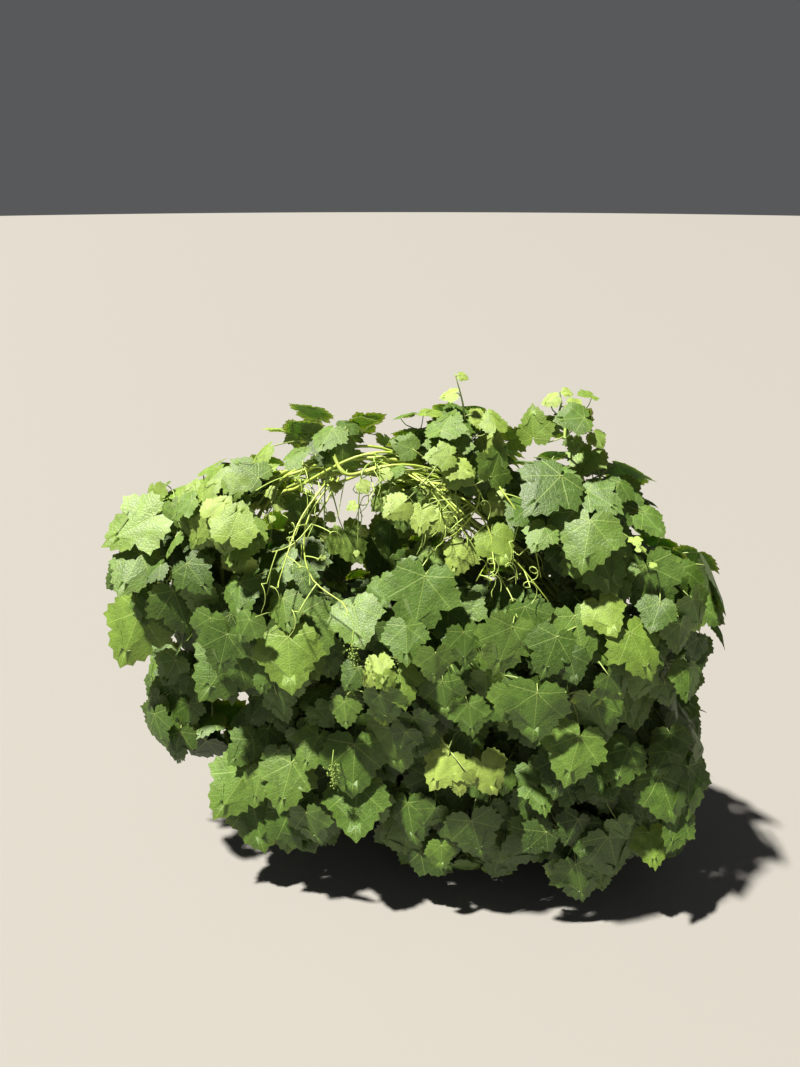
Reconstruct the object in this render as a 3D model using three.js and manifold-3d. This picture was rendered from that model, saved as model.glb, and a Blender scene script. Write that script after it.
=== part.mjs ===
// A grapevine in early summer leaf: a short gnarled trunk with two arms along the row, whose long green
// shoots have been laid over from both ends and plaited together into a low arch.
// Sizes are millimetres. X runs along the row, Y runs away from the front, Z is up, and the origin is the
// middle of the trunk's flat cut at ground level.

import * as THREE from 'three';
import { mergeVertices } from 'three/addons/utils/BufferGeometryUtils.js';
import Module from 'manifold-3d';

const wasm = await Module();
wasm.setup();

// Gaps
const CLEARANCE = 0.3; // between two pieces that meet
const SPACE_MARGIN = 0.6; // between a leaf and the border of the space that its mass keeps to
const LIMB_MARGIN = 1.5; // between a leaf or twig and a limb that passes it
const GROUND_MARGIN = 6; // between the lowest leaf and the ground

// Trunk: flared at the ground, narrow at its waist, with a knotted head that the arms leave
const TRUNK_HEIGHT = 320;
const TRUNK_RADII = { foot: 52, waist: 29, head: 40 };
const TRUNK_FLARE_FADE = 9; // how fast the flare dies away up the trunk
const TRUNK_HEAD_PLACE = 0.86; // how far up the head is widest
const TRUNK_HEAD_SPREAD = 0.16;
const TRUNK_LEAN = vec(14, -8, 0); // how far the head stands off the foot
const TRUNK_SWAY = vec(1, 0, 0); // how far the waist stands off the foot

// Arms
const ARM_HEIGHT = 345;
const ARM_ENDS = { left: -425, right: 350 };
const ARM_RISE = 12; // from the middle of an arm to its end
const ARM_DIP = 14; // from the middle of an arm to where it leaves the head
const ARM_RADII = { start: 13, end: 8 };

// Plait: an arch of strands that wind round each other, three from the left and two from the right
const STRAND_COUNTS = { left: 3, right: 2 };
const STRAND_RADII = { foot: 5.8, bend: 4.6, tip: 4 };
const PLAIT_RADIUS = 17; // from the middle of the bundle to the middle of a strand
const PLAIT_TWIST = 0.55; // turns along the whole arch
const PLAIT_LEFT_BEND = vec(-505, 0, 800);
const PLAIT_LEFT_SHOULDER = vec(-425, -3, 912);
const PLAIT_LEFT_TOP = vec(-300, -5, 960);
const PLAIT_TOP = vec(-150, -8, 968);
const PLAIT_RIGHT_SHOULDER = vec(30, -6, 852);
const PLAIT_RIGHT_BEND = vec(228, 0, 650);
const STRAND_SWING = 2.8; // how far a strand stands off the bundle before it turns to its mass, of its radius
// How far along the arch, from its left end, each strand goes, and the mass that it ends in.
const STRANDS = {
  left_1: { end: 0.43, mass: 'crown' },
  left_2: { end: 0.86 },
  left_3: { end: 0.74 },
  right_1: { end: 0.44, mass: 'crown_left' },
  right_2: { end: 0.2 },
};

// Risers: the same shoots from their arm up to the arch's bends
const RISER_FEET = { left: 0.91, right: 0.8 }; // how far along its arm the outermost one stands
const RISER_STEPS = { left: 0.13, right: 0.2 }; // from one to the next, of the arm's length
const RISER_BOWS = { left: -62, right: 31 }; // how far they stand out to the side, half way up
const RISER_SPREAD = 26; // between neighbouring risers, half way up

// Boughs
const BOUGH_RADII = { start: 5.2, end: 4.6 };
const BOUGH_RISE = 0.12; // how far its middle stands above a straight line, of its length
const BOUGH_LEAST = 55; // shortest bough
const ENTRY_REACH = 0.72; // how deep in its mass a bough ends, 0 at its middle and 1 at its surface
const ENTRY_DEPTH = 12; // least distance from a bough's tip to the border of its mass

// Twigs of a mass
const STEM_TIP_RADIUS = 4.4;
const STEM_BEND = 30; // how far a stem goes on in its bough's direction
const TWIG_COUNT = 3;
const TWIG_RADII = { start: 3.1, end: 2.9 };
const TWIG_REACH = 0.62; // how far out they go in their mass, 1 at its surface
const TWIG_NODES = 6; // places along a twig, each for one stalk
const TWIG_ROOT_STEP = 0.25; // between the roots of two twigs, of the stem's length
const RUNNER_STEP = 60; // distance between the small leaves of a shoot tip
const RUNNER_LEAVES = { first: 0.55, last: 0.3 }; // their width, of a full-grown leaf's
const RUNNER_STALK_RADII = { start: 1.2, end: 0.7 };

// Leaves
const LEAF_WIDTH = 162; // of a full-grown leaf
const LEAF_SIZES = { least: 0.82, most: 1.06 };
const LEAF_THICKNESS = 0.027; // at the middle, of the width
const LEAF_DOME = 0.05; // how far the middle stands above the rim, of the width
const LEAF_DROOP = 0.07; // how far the lobes hang below the rim, of the width
const LEAF_CENTRE = 0.28; // from the stalk's joint to the middle of the blade, of the width
const LEAF_SPACING = 0.33; // least distance between two leaves' middles, of the width
const LEAF_REACH = { least: 0.8, most: 0.95 }; // how far out in its mass a leaf sits, 1 at its surface
const LEAF_LIFT = 0.85; // how much a leaf faces up, beside facing out
const LEAF_HANG = 0.4; // how much its tip points out, beside pointing down
const LEAF_COVER = 11.9; // places for leaves in a mass, times the square of its size over a leaf's
const LEAF_BACK = -0.3; // how far round the inner side of a mass its leaves go
const LOOSENESS = 0.3; // of a leaf's place and turn
const STALK_RADII = { start: 1.4, end: 1.1 };
const STALK_LENGTHS = { least: 45, most: 190 };
const STALK_SEAT = 0.6; // from the notch to the middle of the blade, where the stalk ends inside it

// Attempts to seat a leaf before its place stays empty, and how each differs from the one before
const TRIES = 14;
const TRY_SHRINK = 0.03;
const TRY_RETREAT = 0.06;
const TRY_LOOSEN = 0.08;

// Half of a leaf's outline, from the notch at its stalk round to its tip: across and along, of its width
const LEAF_HALF_OUTLINE = [
  [0, 0.02], // notch at the stalk
  [0.28, -0.2], // lower lobe
  [0.52, 0.2], // side lobe
  [0.29, 0.43], // notch between the side lobe and the tip
  [0, 0.8], // tip
];

// How finely things are made and measured
const FIRST_SEED = 11;
const ENTRY_STEPS = 60;
const BEAD_STEP = 5;
const CORE_HEIGHTS = { bottom: 260, top: 760 }; // between them a mass looks out sideways
const CORE_LENGTH = 0.8; // of the arms' length
const SIMPLIFY = 0.02; // faces flatter than this are joined
// Faces round each kind of limb, and lengths that it is divided into
const FACETS = {
  trunk: [12, 10],
  arm: [8, 9],
  riser: [5, 6],
  strand: [5, 9],
  bough: [4, 3],
  stem: [4, 2],
  twig: [3, 1],
};

const FINISHES = {
  bark: { color: 0x6f5d4a, roughness: 0.9, metalness: 0 },
  shoot: { color: 0x8fa64f, roughness: 0.55, metalness: 0 },
  leaf: { color: 0x4c7631, roughness: 0.6, metalness: 0 },
  young_leaf: { color: 0x8db53f, roughness: 0.6, metalness: 0 },
};

// Masses of foliage: the middle and half-sizes of the space that each keeps to, the limb that its bough
// leaves and how far along it, the bow of that bough, the size of young leaves beside full-grown ones, and
// how full of leaves it is beside the others.
// A runner is the end of a shoot tip that stands out of the mass.
const MASSES = {
  left_shoulder: { at: [-635, -25, 720], half: [180, 195, 200], from: 'riser_left_1', along: 0.6 },
  left_top: { at: [-490, -45, 875], half: [135, 165, 105], from: 'riser_left_2', along: 0.84, young: 0.8 },
  left_drape: { at: [-635, -50, 385], half: [125, 175, 160], from: 'riser_left_1', along: 0.38 },
  upper_left: { at: [-415, -120, 620], half: [175, 165, 175], from: 'riser_left_2', along: 0.42 },
  lower_left: { at: [-330, -135, 290], half: [220, 180, 225], from: 'arm_left', along: 0.58 },
  centre: { at: [-90, -145, 560], half: [220, 180, 225], from: 'arm_left', along: 0.34 },
  centre_foot: { at: [0, -140, 205], half: [210, 200, 205], from: 'arm_right', along: 0.24 },
  crown_left: { at: [-295, -25, 1012], half: [185, 155, 72], from: 'plait_right_1', young: 0.8, full: 0.7 },
  crown: {
    at: [-35, -5, 968],
    half: [165, 165, 145],
    from: 'plait_left_1',
    young: 0.8,
    runner: [-33, -10, 1177],
  },
  right_top: {
    at: [205, -15, 865],
    half: [205, 190, 145],
    from: 'riser_right_1',
    along: 0.86,
    bow: [30, 0, 0],
  },
  right_upper: { at: [195, -140, 610], half: [190, 175, 180], from: 'riser_right_2', along: 0.6 },
  right_shoulder: { at: [415, -40, 640], half: [145, 205, 200], from: 'riser_right_1', along: 0.6 },
  lower_right: { at: [250, -150, 255], half: [205, 185, 245], from: 'arm_right', along: 0.5 },
  right_edge: { at: [445, -60, 290], half: [135, 215, 240], from: 'arm_right', along: 0.97 },
  upright: {
    at: [205, 0, 1060],
    half: [80, 75, 85],
    from: 'arm_right',
    along: 0.7,
    bow: [70, 45, 0],
    young: 0.55,
    full: 0.35,
    runner: [181, 4, 1141],
  },
  back_upper_left: { at: [-450, 165, 540], half: [195, 150, 215], from: 'riser_left_3', along: 0.4 },
  back_lower_left: { at: [-270, 170, 270], half: [235, 160, 220], from: 'arm_left', along: 0.69 },
  back_centre: { at: [-110, 155, 560], half: [220, 150, 210], from: 'arm_left', along: 0.28 },
  back_upper_right: { at: [230, 160, 610], half: [215, 155, 200], from: 'riser_right_1', along: 0.3 },
  back_lower_right: { at: [190, 180, 270], half: [260, 165, 230], from: 'arm_right', along: 0.38 },
};

function vec(x, y, z) {
  return new THREE.Vector3(x, y, z);
}

// A seeded source of numbers between low and high.
function randomFrom(seed) {
  let state = seed;
  return (low, high) => {
    state = (state + 0x6d2b79f5) | 0;
    let value = Math.imul(state ^ (state >>> 15), 1 | state);
    value = (value + Math.imul(value ^ (value >>> 7), 61 | value)) ^ value;
    return low + (high - low) * (((value ^ (value >>> 14)) >>> 0) / 2 ** 32);
  };
}

// A random step of up to a given size along each axis.
function stray(random, size) {
  return vec(random(-size, size), random(-size, size), random(-size, size));
}

// Evenly spread directions.
function spherePoint(index, count) {
  const height = 1 - (2 * (index + 0.5)) / count;
  const turn = index * Math.PI * (3 - Math.sqrt(5));
  const around = Math.sqrt(1 - height * height);
  return vec(around * Math.cos(turn), around * Math.sin(turn), height);
}

// A closed mesh as a solid: corners that share a place are merged and flat triangles dropped.
function solidFrom(geometry) {
  const bare = geometry.clone();
  bare.deleteAttribute('normal');
  bare.deleteAttribute('uv');
  const merged = mergeVertices(bare);
  const corners = merged.index.array;
  const kept = [];
  for (let i = 0; i < corners.length; i += 3) {
    const [a, b, c] = corners.subarray(i, i + 3);
    if (a !== b && b !== c && c !== a) kept.push(a, b, c);
  }
  return new wasm.Manifold(
    new wasm.Mesh({
      numProp: 3,
      vertProperties: new Float32Array(merged.attributes.position.array),
      triVerts: new Uint32Array(kept),
    }),
  );
}

// The largest body of a solid, as a geometry: loose scraps go, and sealed hollows are filled.
function geometryFrom(solid) {
  const bodies = solid.decompose();
  bodies.sort((a, b) => b.volume() - a.volume());
  const mesh = bodies[0].getMesh();
  const geometry = new THREE.BufferGeometry();
  geometry.setAttribute('position', new THREE.BufferAttribute(mesh.vertProperties, 3));
  geometry.setIndex(new THREE.BufferAttribute(mesh.triVerts, 1));
  geometry.computeVertexNormals();
  return geometry;
}

// What a limb is made of: the curve through its points, its taper, its faces round and along, and the limb
// that it grows from.
function limb(points, startRadius, endRadius, sides, steps, parent) {
  const curve = new THREE.CatmullRomCurve3(points);
  const radiusAt = (along) => THREE.MathUtils.lerp(startRadius, endRadius, along);
  return { curve, radiusAt, sides, steps, parent };
}

// A limb's shape: a cylinder whose rings are carried along its curve. Extra makes it thicker and longer.
function limbGeometry({ curve, radiusAt, sides, steps }, extra = 0) {
  const geometry = new THREE.CylinderGeometry(1, 1, 1, sides, steps);
  const frames = curve.computeFrenetFrames(steps, false);
  const position = geometry.attributes.position;
  for (let i = 0; i < position.count; i++) {
    const ring = Math.round((position.getY(i) + 0.5) * steps);
    const radius = radiusAt(ring / steps) + extra;
    const place = curve.getPointAt(ring / steps);
    place.addScaledVector(frames.normals[ring], position.getX(i) * radius);
    place.addScaledVector(frames.binormals[ring], -position.getZ(i) * radius);
    if (ring === 0) place.addScaledVector(frames.tangents[ring], -extra);
    if (ring === steps) place.addScaledVector(frames.tangents[ring], extra);
    position.setXYZ(i, place.x, place.y, place.z);
  }
  return geometry;
}

function straightTwig(start, end, radii) {
  return limbGeometry(limb([start, end], radii.start, radii.end, ...FACETS.twig));
}

// The trunk: a flared foot, a leaning waist and a knotted head.
function makeTrunk() {
  const foot = vec(0, 0, 0);
  const shin = vec(0, 0, TRUNK_HEIGHT * 0.2);
  const waist = TRUNK_SWAY.clone().setZ(TRUNK_HEIGHT * 0.6);
  const head = TRUNK_LEAN.clone().setZ(TRUNK_HEIGHT);
  const trunk = limb([foot, shin, waist, head], 0, 0, ...FACETS.trunk);
  trunk.radiusAt = (along) => {
    const { foot: flare, waist: least, head: knot } = TRUNK_RADII;
    const flared = (flare - least) * Math.exp(-along * TRUNK_FLARE_FADE);
    const knotted = (knot - least) * Math.exp(-(((along - TRUNK_HEAD_PLACE) / TRUNK_HEAD_SPREAD) ** 2));
    return least + flared + knotted;
  };
  return trunk;
}

// An arm: a woody limb that leaves the trunk's head and lies along the row.
function makeArm(end) {
  const start = TRUNK_LEAN.clone().setZ(TRUNK_HEIGHT * TRUNK_HEAD_PLACE);
  const shoulder = vec(start.x + Math.sign(end) * 60, -4, ARM_HEIGHT - ARM_DIP);
  const middle = vec(end * 0.55, 8, ARM_HEIGHT);
  const tip = vec(end, 0, ARM_HEIGHT + ARM_RISE);
  return limb([start, shoulder, middle, tip], ARM_RADII.start, ARM_RADII.end, ...FACETS.arm, 'trunk');
}

const arch = new THREE.CatmullRomCurve3([
  PLAIT_LEFT_BEND,
  PLAIT_LEFT_SHOULDER,
  PLAIT_LEFT_TOP,
  PLAIT_TOP,
  PLAIT_RIGHT_SHOULDER,
  PLAIT_RIGHT_BEND,
]);

// A strand's place on the arch: it winds round the bundle's middle, evenly spaced from the others.
function plaitPoint(strand, along, swing = 1) {
  const turn = 2 * Math.PI * (strand / Object.keys(STRANDS).length + PLAIT_TWIST * along);
  const tangent = arch.getTangentAt(along);
  const front = vec(0, -1, 0).addScaledVector(tangent, tangent.y).normalize();
  const up = front.clone().cross(tangent);
  const place = arch.getPointAt(along);
  place.addScaledVector(front, swing * PLAIT_RADIUS * Math.cos(turn));
  return place.addScaledVector(up, swing * PLAIT_RADIUS * Math.sin(turn));
}

// A riser: a shoot that climbs from an arm to the bend where the plait begins.
function makeRiser(side, number, strand) {
  const arm = `arm_${side}`;
  const order = number - (STRAND_COUNTS[side] + 1) / 2;
  const outward = side === 'left' ? 1 : -1;
  const bow = vec(RISER_BOWS[side] + outward * RISER_SPREAD * order, 0, 0);
  const start = limbs[arm].curve.getPointAt(RISER_FEET[side] - RISER_STEPS[side] * (number - 1));
  const bend = plaitPoint(strand, side === 'left' ? 0 : 1);
  const lower = start.clone().lerp(bend, 0.35).add(bow);
  const upper = start.clone().lerp(bend, 0.72).add(bow);
  return limb([start, lower, upper, bend], STRAND_RADII.foot, STRAND_RADII.bend, ...FACETS.riser, arm);
}

// The part of the same shoot that runs along the arch from its bend, and then into its mass, if it has one.
function makeStrand(side, number, strand) {
  const places = 6;
  const start = side === 'left' ? 0 : 1;
  const { end, mass } = STRANDS[`${side}_${number}`];
  const points = [];
  for (let i = 0; i <= places; i++) {
    points.push(plaitPoint(strand, THREE.MathUtils.lerp(start, end, i / places)));
  }
  if (mass) {
    const swing = plaitPoint(strand, end + (end - start) / places, STRAND_SWING);
    points.push(swing, entryPoint(mass, swing));
  }
  return limb(points, STRAND_RADII.bend, STRAND_RADII.tip, ...FACETS.strand, `riser_${side}_${number}`);
}

// The space of a mass: an ellipsoid, cut by the planes that part it from its neighbours.
function spaceOf(mass) {
  const size = (mass.half[0] + mass.half[1] + mass.half[2]) / 3;
  return { middle: vec(...mass.at), half: vec(...mass.half), size };
}

// How far a point lies inside the borders that a mass shares with its neighbours.
function depthInSpace(name, point) {
  const own = spaces[name];
  const ownPower = point.distanceToSquared(own.middle) - own.size ** 2;
  let depth = point.z - GROUND_MARGIN;
  for (const [other, space] of Object.entries(spaces)) {
    if (other === name) continue;
    const power = point.distanceToSquared(space.middle) - space.size ** 2;
    depth = Math.min(depth, (power - ownPower) / (2 * space.middle.distanceTo(own.middle)));
  }
  return depth;
}

// A point's distance from the middle of a mass, where 1 is the ellipsoid's surface.
function reachOf(space, point) {
  return point.clone().sub(space.middle).divide(space.half).length();
}

// The way out of the vine at the middle of a mass.
function outwardOf(space) {
  const core = space.middle.clone().setY(0);
  core.x = THREE.MathUtils.clamp(core.x, ARM_ENDS.left, ARM_ENDS.right) * CORE_LENGTH;
  core.z = THREE.MathUtils.clamp(core.z, CORE_HEIGHTS.bottom, CORE_HEIGHTS.top);
  return space.middle.clone().sub(core).normalize();
}

// Where the straight way from a point to the middle of a mass comes into its space.
function entryPoint(name, start) {
  const space = spaces[name];
  for (let step = 1; step < ENTRY_STEPS; step++) {
    const place = start.clone().lerp(space.middle, step / ENTRY_STEPS);
    const inside = reachOf(space, place) < ENTRY_REACH && depthInSpace(name, place) > ENTRY_DEPTH;
    if (inside && place.distanceTo(start) > BOUGH_LEAST) return place;
  }
  return space.middle.clone();
}

// The limb that a mass's stem goes on from: a strand of the plait, or else a bough of its own.
function boughOf(name) {
  const { from } = MASSES[name];
  return from.startsWith('plait') ? from : `bough_${name}`;
}

// A bough: it leaves its limb at a slant, rises a little, and ends where it enters its mass.
function makeBough(name) {
  const { from, along, bow = [0, 0, 0] } = MASSES[name];
  const start = limbs[from].curve.getPointAt(along);
  const entry = entryPoint(name, start);
  const rise = vec(0, 0, start.distanceTo(entry) * BOUGH_RISE);
  const middle = start.clone().lerp(entry, 0.5).add(rise).add(vec(...bow));
  return limb([start, middle, entry], BOUGH_RADII.start, BOUGH_RADII.end, ...FACETS.bough, from);
}

// Balls threaded along a limb from ring to ring, for measuring how near something comes to it.
function beadsOf({ curve, radiusAt, steps }) {
  const beads = [];
  for (let ring = 0; ring < steps; ring++) {
    const start = curve.getPointAt(ring / steps);
    const end = curve.getPointAt((ring + 1) / steps);
    const count = Math.ceil(start.distanceTo(end) / BEAD_STEP);
    for (let i = 0; i <= count; i++) {
      const radius = radiusAt((ring + i / count) / steps);
      beads.push({ place: start.clone().lerp(end, i / count), radius });
    }
  }
  return beads;
}

// Whether a straight twig keeps to its mass's space and clear of every limb.
function twigIsClear(name, start, end, radius) {
  if (Math.min(depthInSpace(name, start), depthInSpace(name, end)) < radius + SPACE_MARGIN) return false;
  const line = new THREE.Line3(start, end);
  const nearest = vec(0, 0, 0);
  return beads.every((bead) => {
    line.closestPointToPoint(bead.place, true, nearest);
    return nearest.distanceTo(bead.place) > bead.radius + radius + LIMB_MARGIN;
  });
}

// Whether every face of a leaf keeps to its mass's space and clear of every limb.
function leafIsClear(name, leaf) {
  if (leaf.corners.some((corner) => depthInSpace(name, corner) < SPACE_MARGIN)) return false;
  const near = beads.filter((bead) => bead.place.distanceTo(leaf.middle) < leaf.width + bead.radius);
  const nearest = vec(0, 0, 0);
  return leaf.faces.every((face) =>
    near.every((bead) => {
      face.closestPointToPoint(bead.place, nearest);
      return nearest.distanceTo(bead.place) > bead.radius + LIMB_MARGIN;
    }),
  );
}

// Whether a straight line passes through one of a leaf's faces.
function lineMeetsLeaf(start, end, leaf) {
  const ray = new THREE.Ray(start, end.clone().sub(start).normalize());
  const length = start.distanceTo(end);
  return leaf.faces.some((face) => {
    const hit = ray.intersectTriangle(face.a, face.b, face.c, false, vec(0, 0, 0));
    return hit !== null && hit.distanceTo(start) < length;
  });
}

// Whether two leaves pass through each other: an edge of one meets a face of the other.
function leavesMeet(one, other) {
  if (one.middle.distanceTo(other.middle) > one.width + other.width) return false;
  const meets = (a, b) => a.edges.some(([start, end]) => lineMeetsLeaf(start, end, b));
  return meets(one, other) || meets(other, one);
}

// A leaf's rim corner, counted round from the notch: the outline is the same on both sides.
function leafRim(corner) {
  const last = LEAF_HALF_OUTLINE.length - 1;
  const mirrored = corner > last;
  const [across, along] = LEAF_HALF_OUTLINE[mirrored ? 2 * last - corner : corner];
  const droop = LEAF_DROOP * Math.hypot(across, along - LEAF_CENTRE) ** 2;
  return vec(mirrored ? -across : across, along, -droop);
}

// A leaf: a double cone whose rim is drawn out to the lobed outline. Its stalk's joint is the origin, its
// tip points along Y and its upper face along Z.
function leafGeometry(width) {
  const corners = 2 * (LEAF_HALF_OUTLINE.length - 1);
  const profile = [new THREE.Vector2(0, -1), new THREE.Vector2(1, 0), new THREE.Vector2(0, 1)];
  const geometry = new THREE.LatheGeometry(profile, corners);
  const position = geometry.attributes.position;
  for (let i = 0; i < position.count; i++) {
    const side = Math.round(position.getY(i));
    const turn = Math.atan2(position.getX(i), position.getZ(i)) / (2 * Math.PI);
    const rim = leafRim((Math.round(turn * corners) + corners) % corners);
    const pole = vec(0, LEAF_CENTRE, LEAF_DOME + (side * LEAF_THICKNESS) / 2);
    const place = (side === 0 ? rim : pole).multiplyScalar(width);
    position.setXYZ(i, place.x, place.y, place.z);
  }
  return geometry;
}

// A leaf set in place by its middle, the way its upper face looks and the way its tip hangs, together with
// its upper side as a sheet of faces and edges for measuring.
function placedLeaf(width, middle, face, hang) {
  const across = hang.clone().cross(face).normalize();
  const tip = face.clone().cross(across).normalize();
  const joint = middle.clone().addScaledVector(tip, -LEAF_CENTRE * width);
  const matrix = new THREE.Matrix4().makeBasis(across, tip, face.clone().normalize()).setPosition(joint);
  const seat = (place) => place.multiplyScalar(width).applyMatrix4(matrix);
  const count = 2 * (LEAF_HALF_OUTLINE.length - 1);
  const rim = Array.from({ length: count }, (_, corner) => seat(leafRim(corner)));
  const top = seat(vec(0, LEAF_CENTRE, LEAF_DOME));
  const next = (i) => rim[(i + 1) % count];
  return {
    geometry: leafGeometry(width).applyMatrix4(matrix),
    middle,
    width,
    stalkEnd: rim[0].clone().lerp(top, STALK_SEAT),
    corners: [...rim, top],
    faces: rim.map((corner, i) => new THREE.Triangle(top, corner, next(i))),
    edges: rim.flatMap((corner, i) => [[top, corner], [corner, next(i)]]),
  };
}

// One try at a leaf in a mass: a place near the surface of its space, facing out and up, tip down.
function tryLeaf(name, out, attempt, random) {
  const space = spaces[name];
  const size = random(LEAF_SIZES.least, LEAF_SIZES.most) * (1 - TRY_SHRINK * attempt);
  const width = LEAF_WIDTH * (MASSES[name].young ?? 1) * size;
  const shift = stray(random, LOOSENESS * (0.25 + TRY_LOOSEN * attempt));
  const place = out.clone().add(shift).normalize();
  const reach = random(LEAF_REACH.least, LEAF_REACH.most) - TRY_RETREAT * attempt;
  const middle = place.clone().multiply(space.half).multiplyScalar(reach).add(space.middle);
  const face = place.clone().add(outwardOf(space)).add(vec(0, 0, LEAF_LIFT)).add(stray(random, LOOSENESS));
  const hang = vec(place.x * LEAF_HANG, place.y * LEAF_HANG, -1).add(stray(random, 2 * LOOSENESS));
  return placedLeaf(width, middle, face.normalize(), hang);
}

// The stalk that joins a leaf to the nearest free node that it can reach without touching anything.
function stalkFor(name, nodes, leaf, leaves) {
  const end = leaf.stalkEnd;
  const byDistance = [...nodes].sort((a, b) => a.distanceTo(end) - b.distanceTo(end));
  const start = byDistance.find((node) => {
    const length = node.distanceTo(end);
    const fits = length > STALK_LENGTHS.least && length < STALK_LENGTHS.most;
    if (!fits || !twigIsClear(name, node, end, STALK_RADII.start)) return false;
    const nearEnd = node.clone().lerp(end, 0.9);
    return !lineMeetsLeaf(node, nearEnd, leaf) && !leaves.some((other) => lineMeetsLeaf(node, end, other));
  });
  return start && { start, end };
}

// The skeleton of a mass: a stem from its bough's tip to the middle of its space, and main twigs from there.
function growSkeleton(name, random) {
  const space = spaces[name];
  const bough = limbs[boughOf(name)];
  const start = bough.curve.getPointAt(1);
  const bend = start.clone().addScaledVector(bough.curve.getTangentAt(1), STEM_BEND);
  const stem = limb([start, bend, space.middle], BOUGH_RADII.end, STEM_TIP_RADIUS, ...FACETS.stem);
  const pieces = [limbGeometry(stem)];
  const nodes = [];
  for (let i = 0; i < TWIG_COUNT; i++) {
    const root = stem.curve.getPointAt(1 - TWIG_ROOT_STEP * (i + 0.1));
    const out = spherePoint(i, TWIG_COUNT).addScaledVector(outwardOf(space), 2 * LOOSENESS);
    out.add(stray(random, LOOSENESS)).normalize();
    const end = out.multiply(space.half).multiplyScalar(TWIG_REACH).add(space.middle);
    if (!twigIsClear(name, root, end, TWIG_RADII.start)) continue;
    pieces.push(straightTwig(root, end, TWIG_RADII));
    for (let node = 1; node <= TWIG_NODES; node++) {
      nodes.push(root.clone().lerp(end, (node + 0.6) / (TWIG_NODES + 1)));
    }
  }
  return { pieces, nodes };
}

// A shoot tip that stands out of a mass, with small leaves set on it by turns.
function growRunner(name, nodes, tip, random) {
  const root = nodes.reduce((best, node) => (node.distanceTo(tip) < best.distanceTo(tip) ? node : best));
  const pieces = [straightTwig(root, tip, { start: TWIG_RADII.start, end: STALK_RADII.end })];
  const leaves = [];
  const count = Math.floor(root.distanceTo(tip) / RUNNER_STEP);
  for (let i = 1; i <= count; i++) {
    const node = root.clone().lerp(tip, i / (count + 0.3));
    const side = vec(i % 2 ? 1 : -1, random(-0.6, 0.2), random(-0.1, 0.3)).normalize();
    const width = LEAF_WIDTH * THREE.MathUtils.lerp(RUNNER_LEAVES.first, RUNNER_LEAVES.last, i / count);
    const face = side.clone().multiplyScalar(0.4).add(vec(0, -0.5, 0.8)).normalize();
    const leaf = placedLeaf(width, node.clone().addScaledVector(side, width * 0.6), face, side);
    if (!leafIsClear(name, leaf)) continue;
    pieces.push(leaf.geometry, straightTwig(node, leaf.stalkEnd, RUNNER_STALK_RADII));
    leaves.push(leaf);
  }
  return { pieces, leaves };
}

// A mass: its skeleton, then leaves dealt evenly over its space, each on its own stalk.
function growMass(name, seed) {
  const { runner, young = 1, full = 1 } = MASSES[name];
  const space = spaces[name];
  const random = randomFrom(seed);
  const { pieces, nodes } = growSkeleton(name, random);
  const leaves = [];
  const stalks = [];
  if (runner) {
    const shoot = growRunner(name, nodes, vec(...runner), random);
    pieces.push(...shoot.pieces);
    leaves.push(...shoot.leaves);
  }
  const seatLeaf = (leaf) => {
    const crowded = leaves.some((other) => other.middle.distanceTo(leaf.middle) < LEAF_SPACING * leaf.width);
    if (crowded || !leafIsClear(name, leaf) || leaves.some((other) => leavesMeet(leaf, other))) return false;
    const stalk = stalkFor(name, nodes, leaf, leaves);
    if (!stalk || stalks.some(({ start, end }) => lineMeetsLeaf(start, end, leaf))) return false;
    pieces.push(leaf.geometry, straightTwig(stalk.start, stalk.end, STALK_RADII));
    leaves.push(leaf);
    stalks.push(stalk);
    nodes.splice(nodes.indexOf(stalk.start), 1);
    return true;
  };
  const places = Math.round(LEAF_COVER * full * (space.size / (LEAF_WIDTH * young)) ** 2);
  for (let i = 0; i < places; i++) {
    const out = spherePoint(i, places);
    if (out.dot(outwardOf(space)) < LEAF_BACK) continue;
    let attempt = 0;
    while (attempt < TRIES && !seatLeaf(tryLeaf(name, out, attempt, random))) attempt++;
  }
  return pieces;
}

// A limb as a solid, its foot cut clear of the limb that it grows from.
function limbSolid(own) {
  const solid = solidFrom(limbGeometry(own));
  return own.parent ? solid.subtract(solidFrom(limbGeometry(limbs[own.parent], CLEARANCE))) : solid;
}

// A mass as a solid: its pieces fused, its stem cut clear of its bough's tip.
function massSolid(name, seed) {
  const fused = wasm.Manifold.union(growMass(name, seed).map((piece) => solidFrom(piece)));
  return fused.subtract(solidFrom(limbGeometry(limbs[boughOf(name)], CLEARANCE))).simplify(SIMPLIFY);
}

function addNode(name, solid, finish) {
  const mesh = new THREE.Mesh(geometryFrom(solid), new THREE.MeshStandardMaterial(FINISHES[finish]));
  mesh.name = name;
  vine.add(mesh);
}

const spaces = Object.fromEntries(Object.entries(MASSES).map(([name, mass]) => [name, spaceOf(mass)]));
const limbs = { trunk: makeTrunk(), arm_left: makeArm(ARM_ENDS.left), arm_right: makeArm(ARM_ENDS.right) };
Object.keys(STRANDS).forEach((key, index) => {
  const [side, number] = key.split('_');
  limbs[`riser_${key}`] = makeRiser(side, Number(number), index + 1);
  limbs[`plait_${key}`] = makeStrand(side, Number(number), index + 1);
});
for (const name of Object.keys(MASSES)) {
  if (boughOf(name).startsWith('bough')) limbs[boughOf(name)] = makeBough(name);
}
const beads = Object.values(limbs).flatMap(beadsOf);

const vine = new THREE.Group();
for (const [name, own] of Object.entries(limbs)) {
  const woody = name === 'trunk' || name.startsWith('arm');
  addNode(name, limbSolid(own), woody ? 'bark' : 'shoot');
}
Object.entries(MASSES).forEach(([name, mass], index) => {
  addNode(`leaves_${name}`, massSolid(name, FIRST_SEED + index), mass.young ? 'young_leaf' : 'leaf');
});

export default vine;
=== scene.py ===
import math
from bisect import bisect_right
from itertools import accumulate

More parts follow.
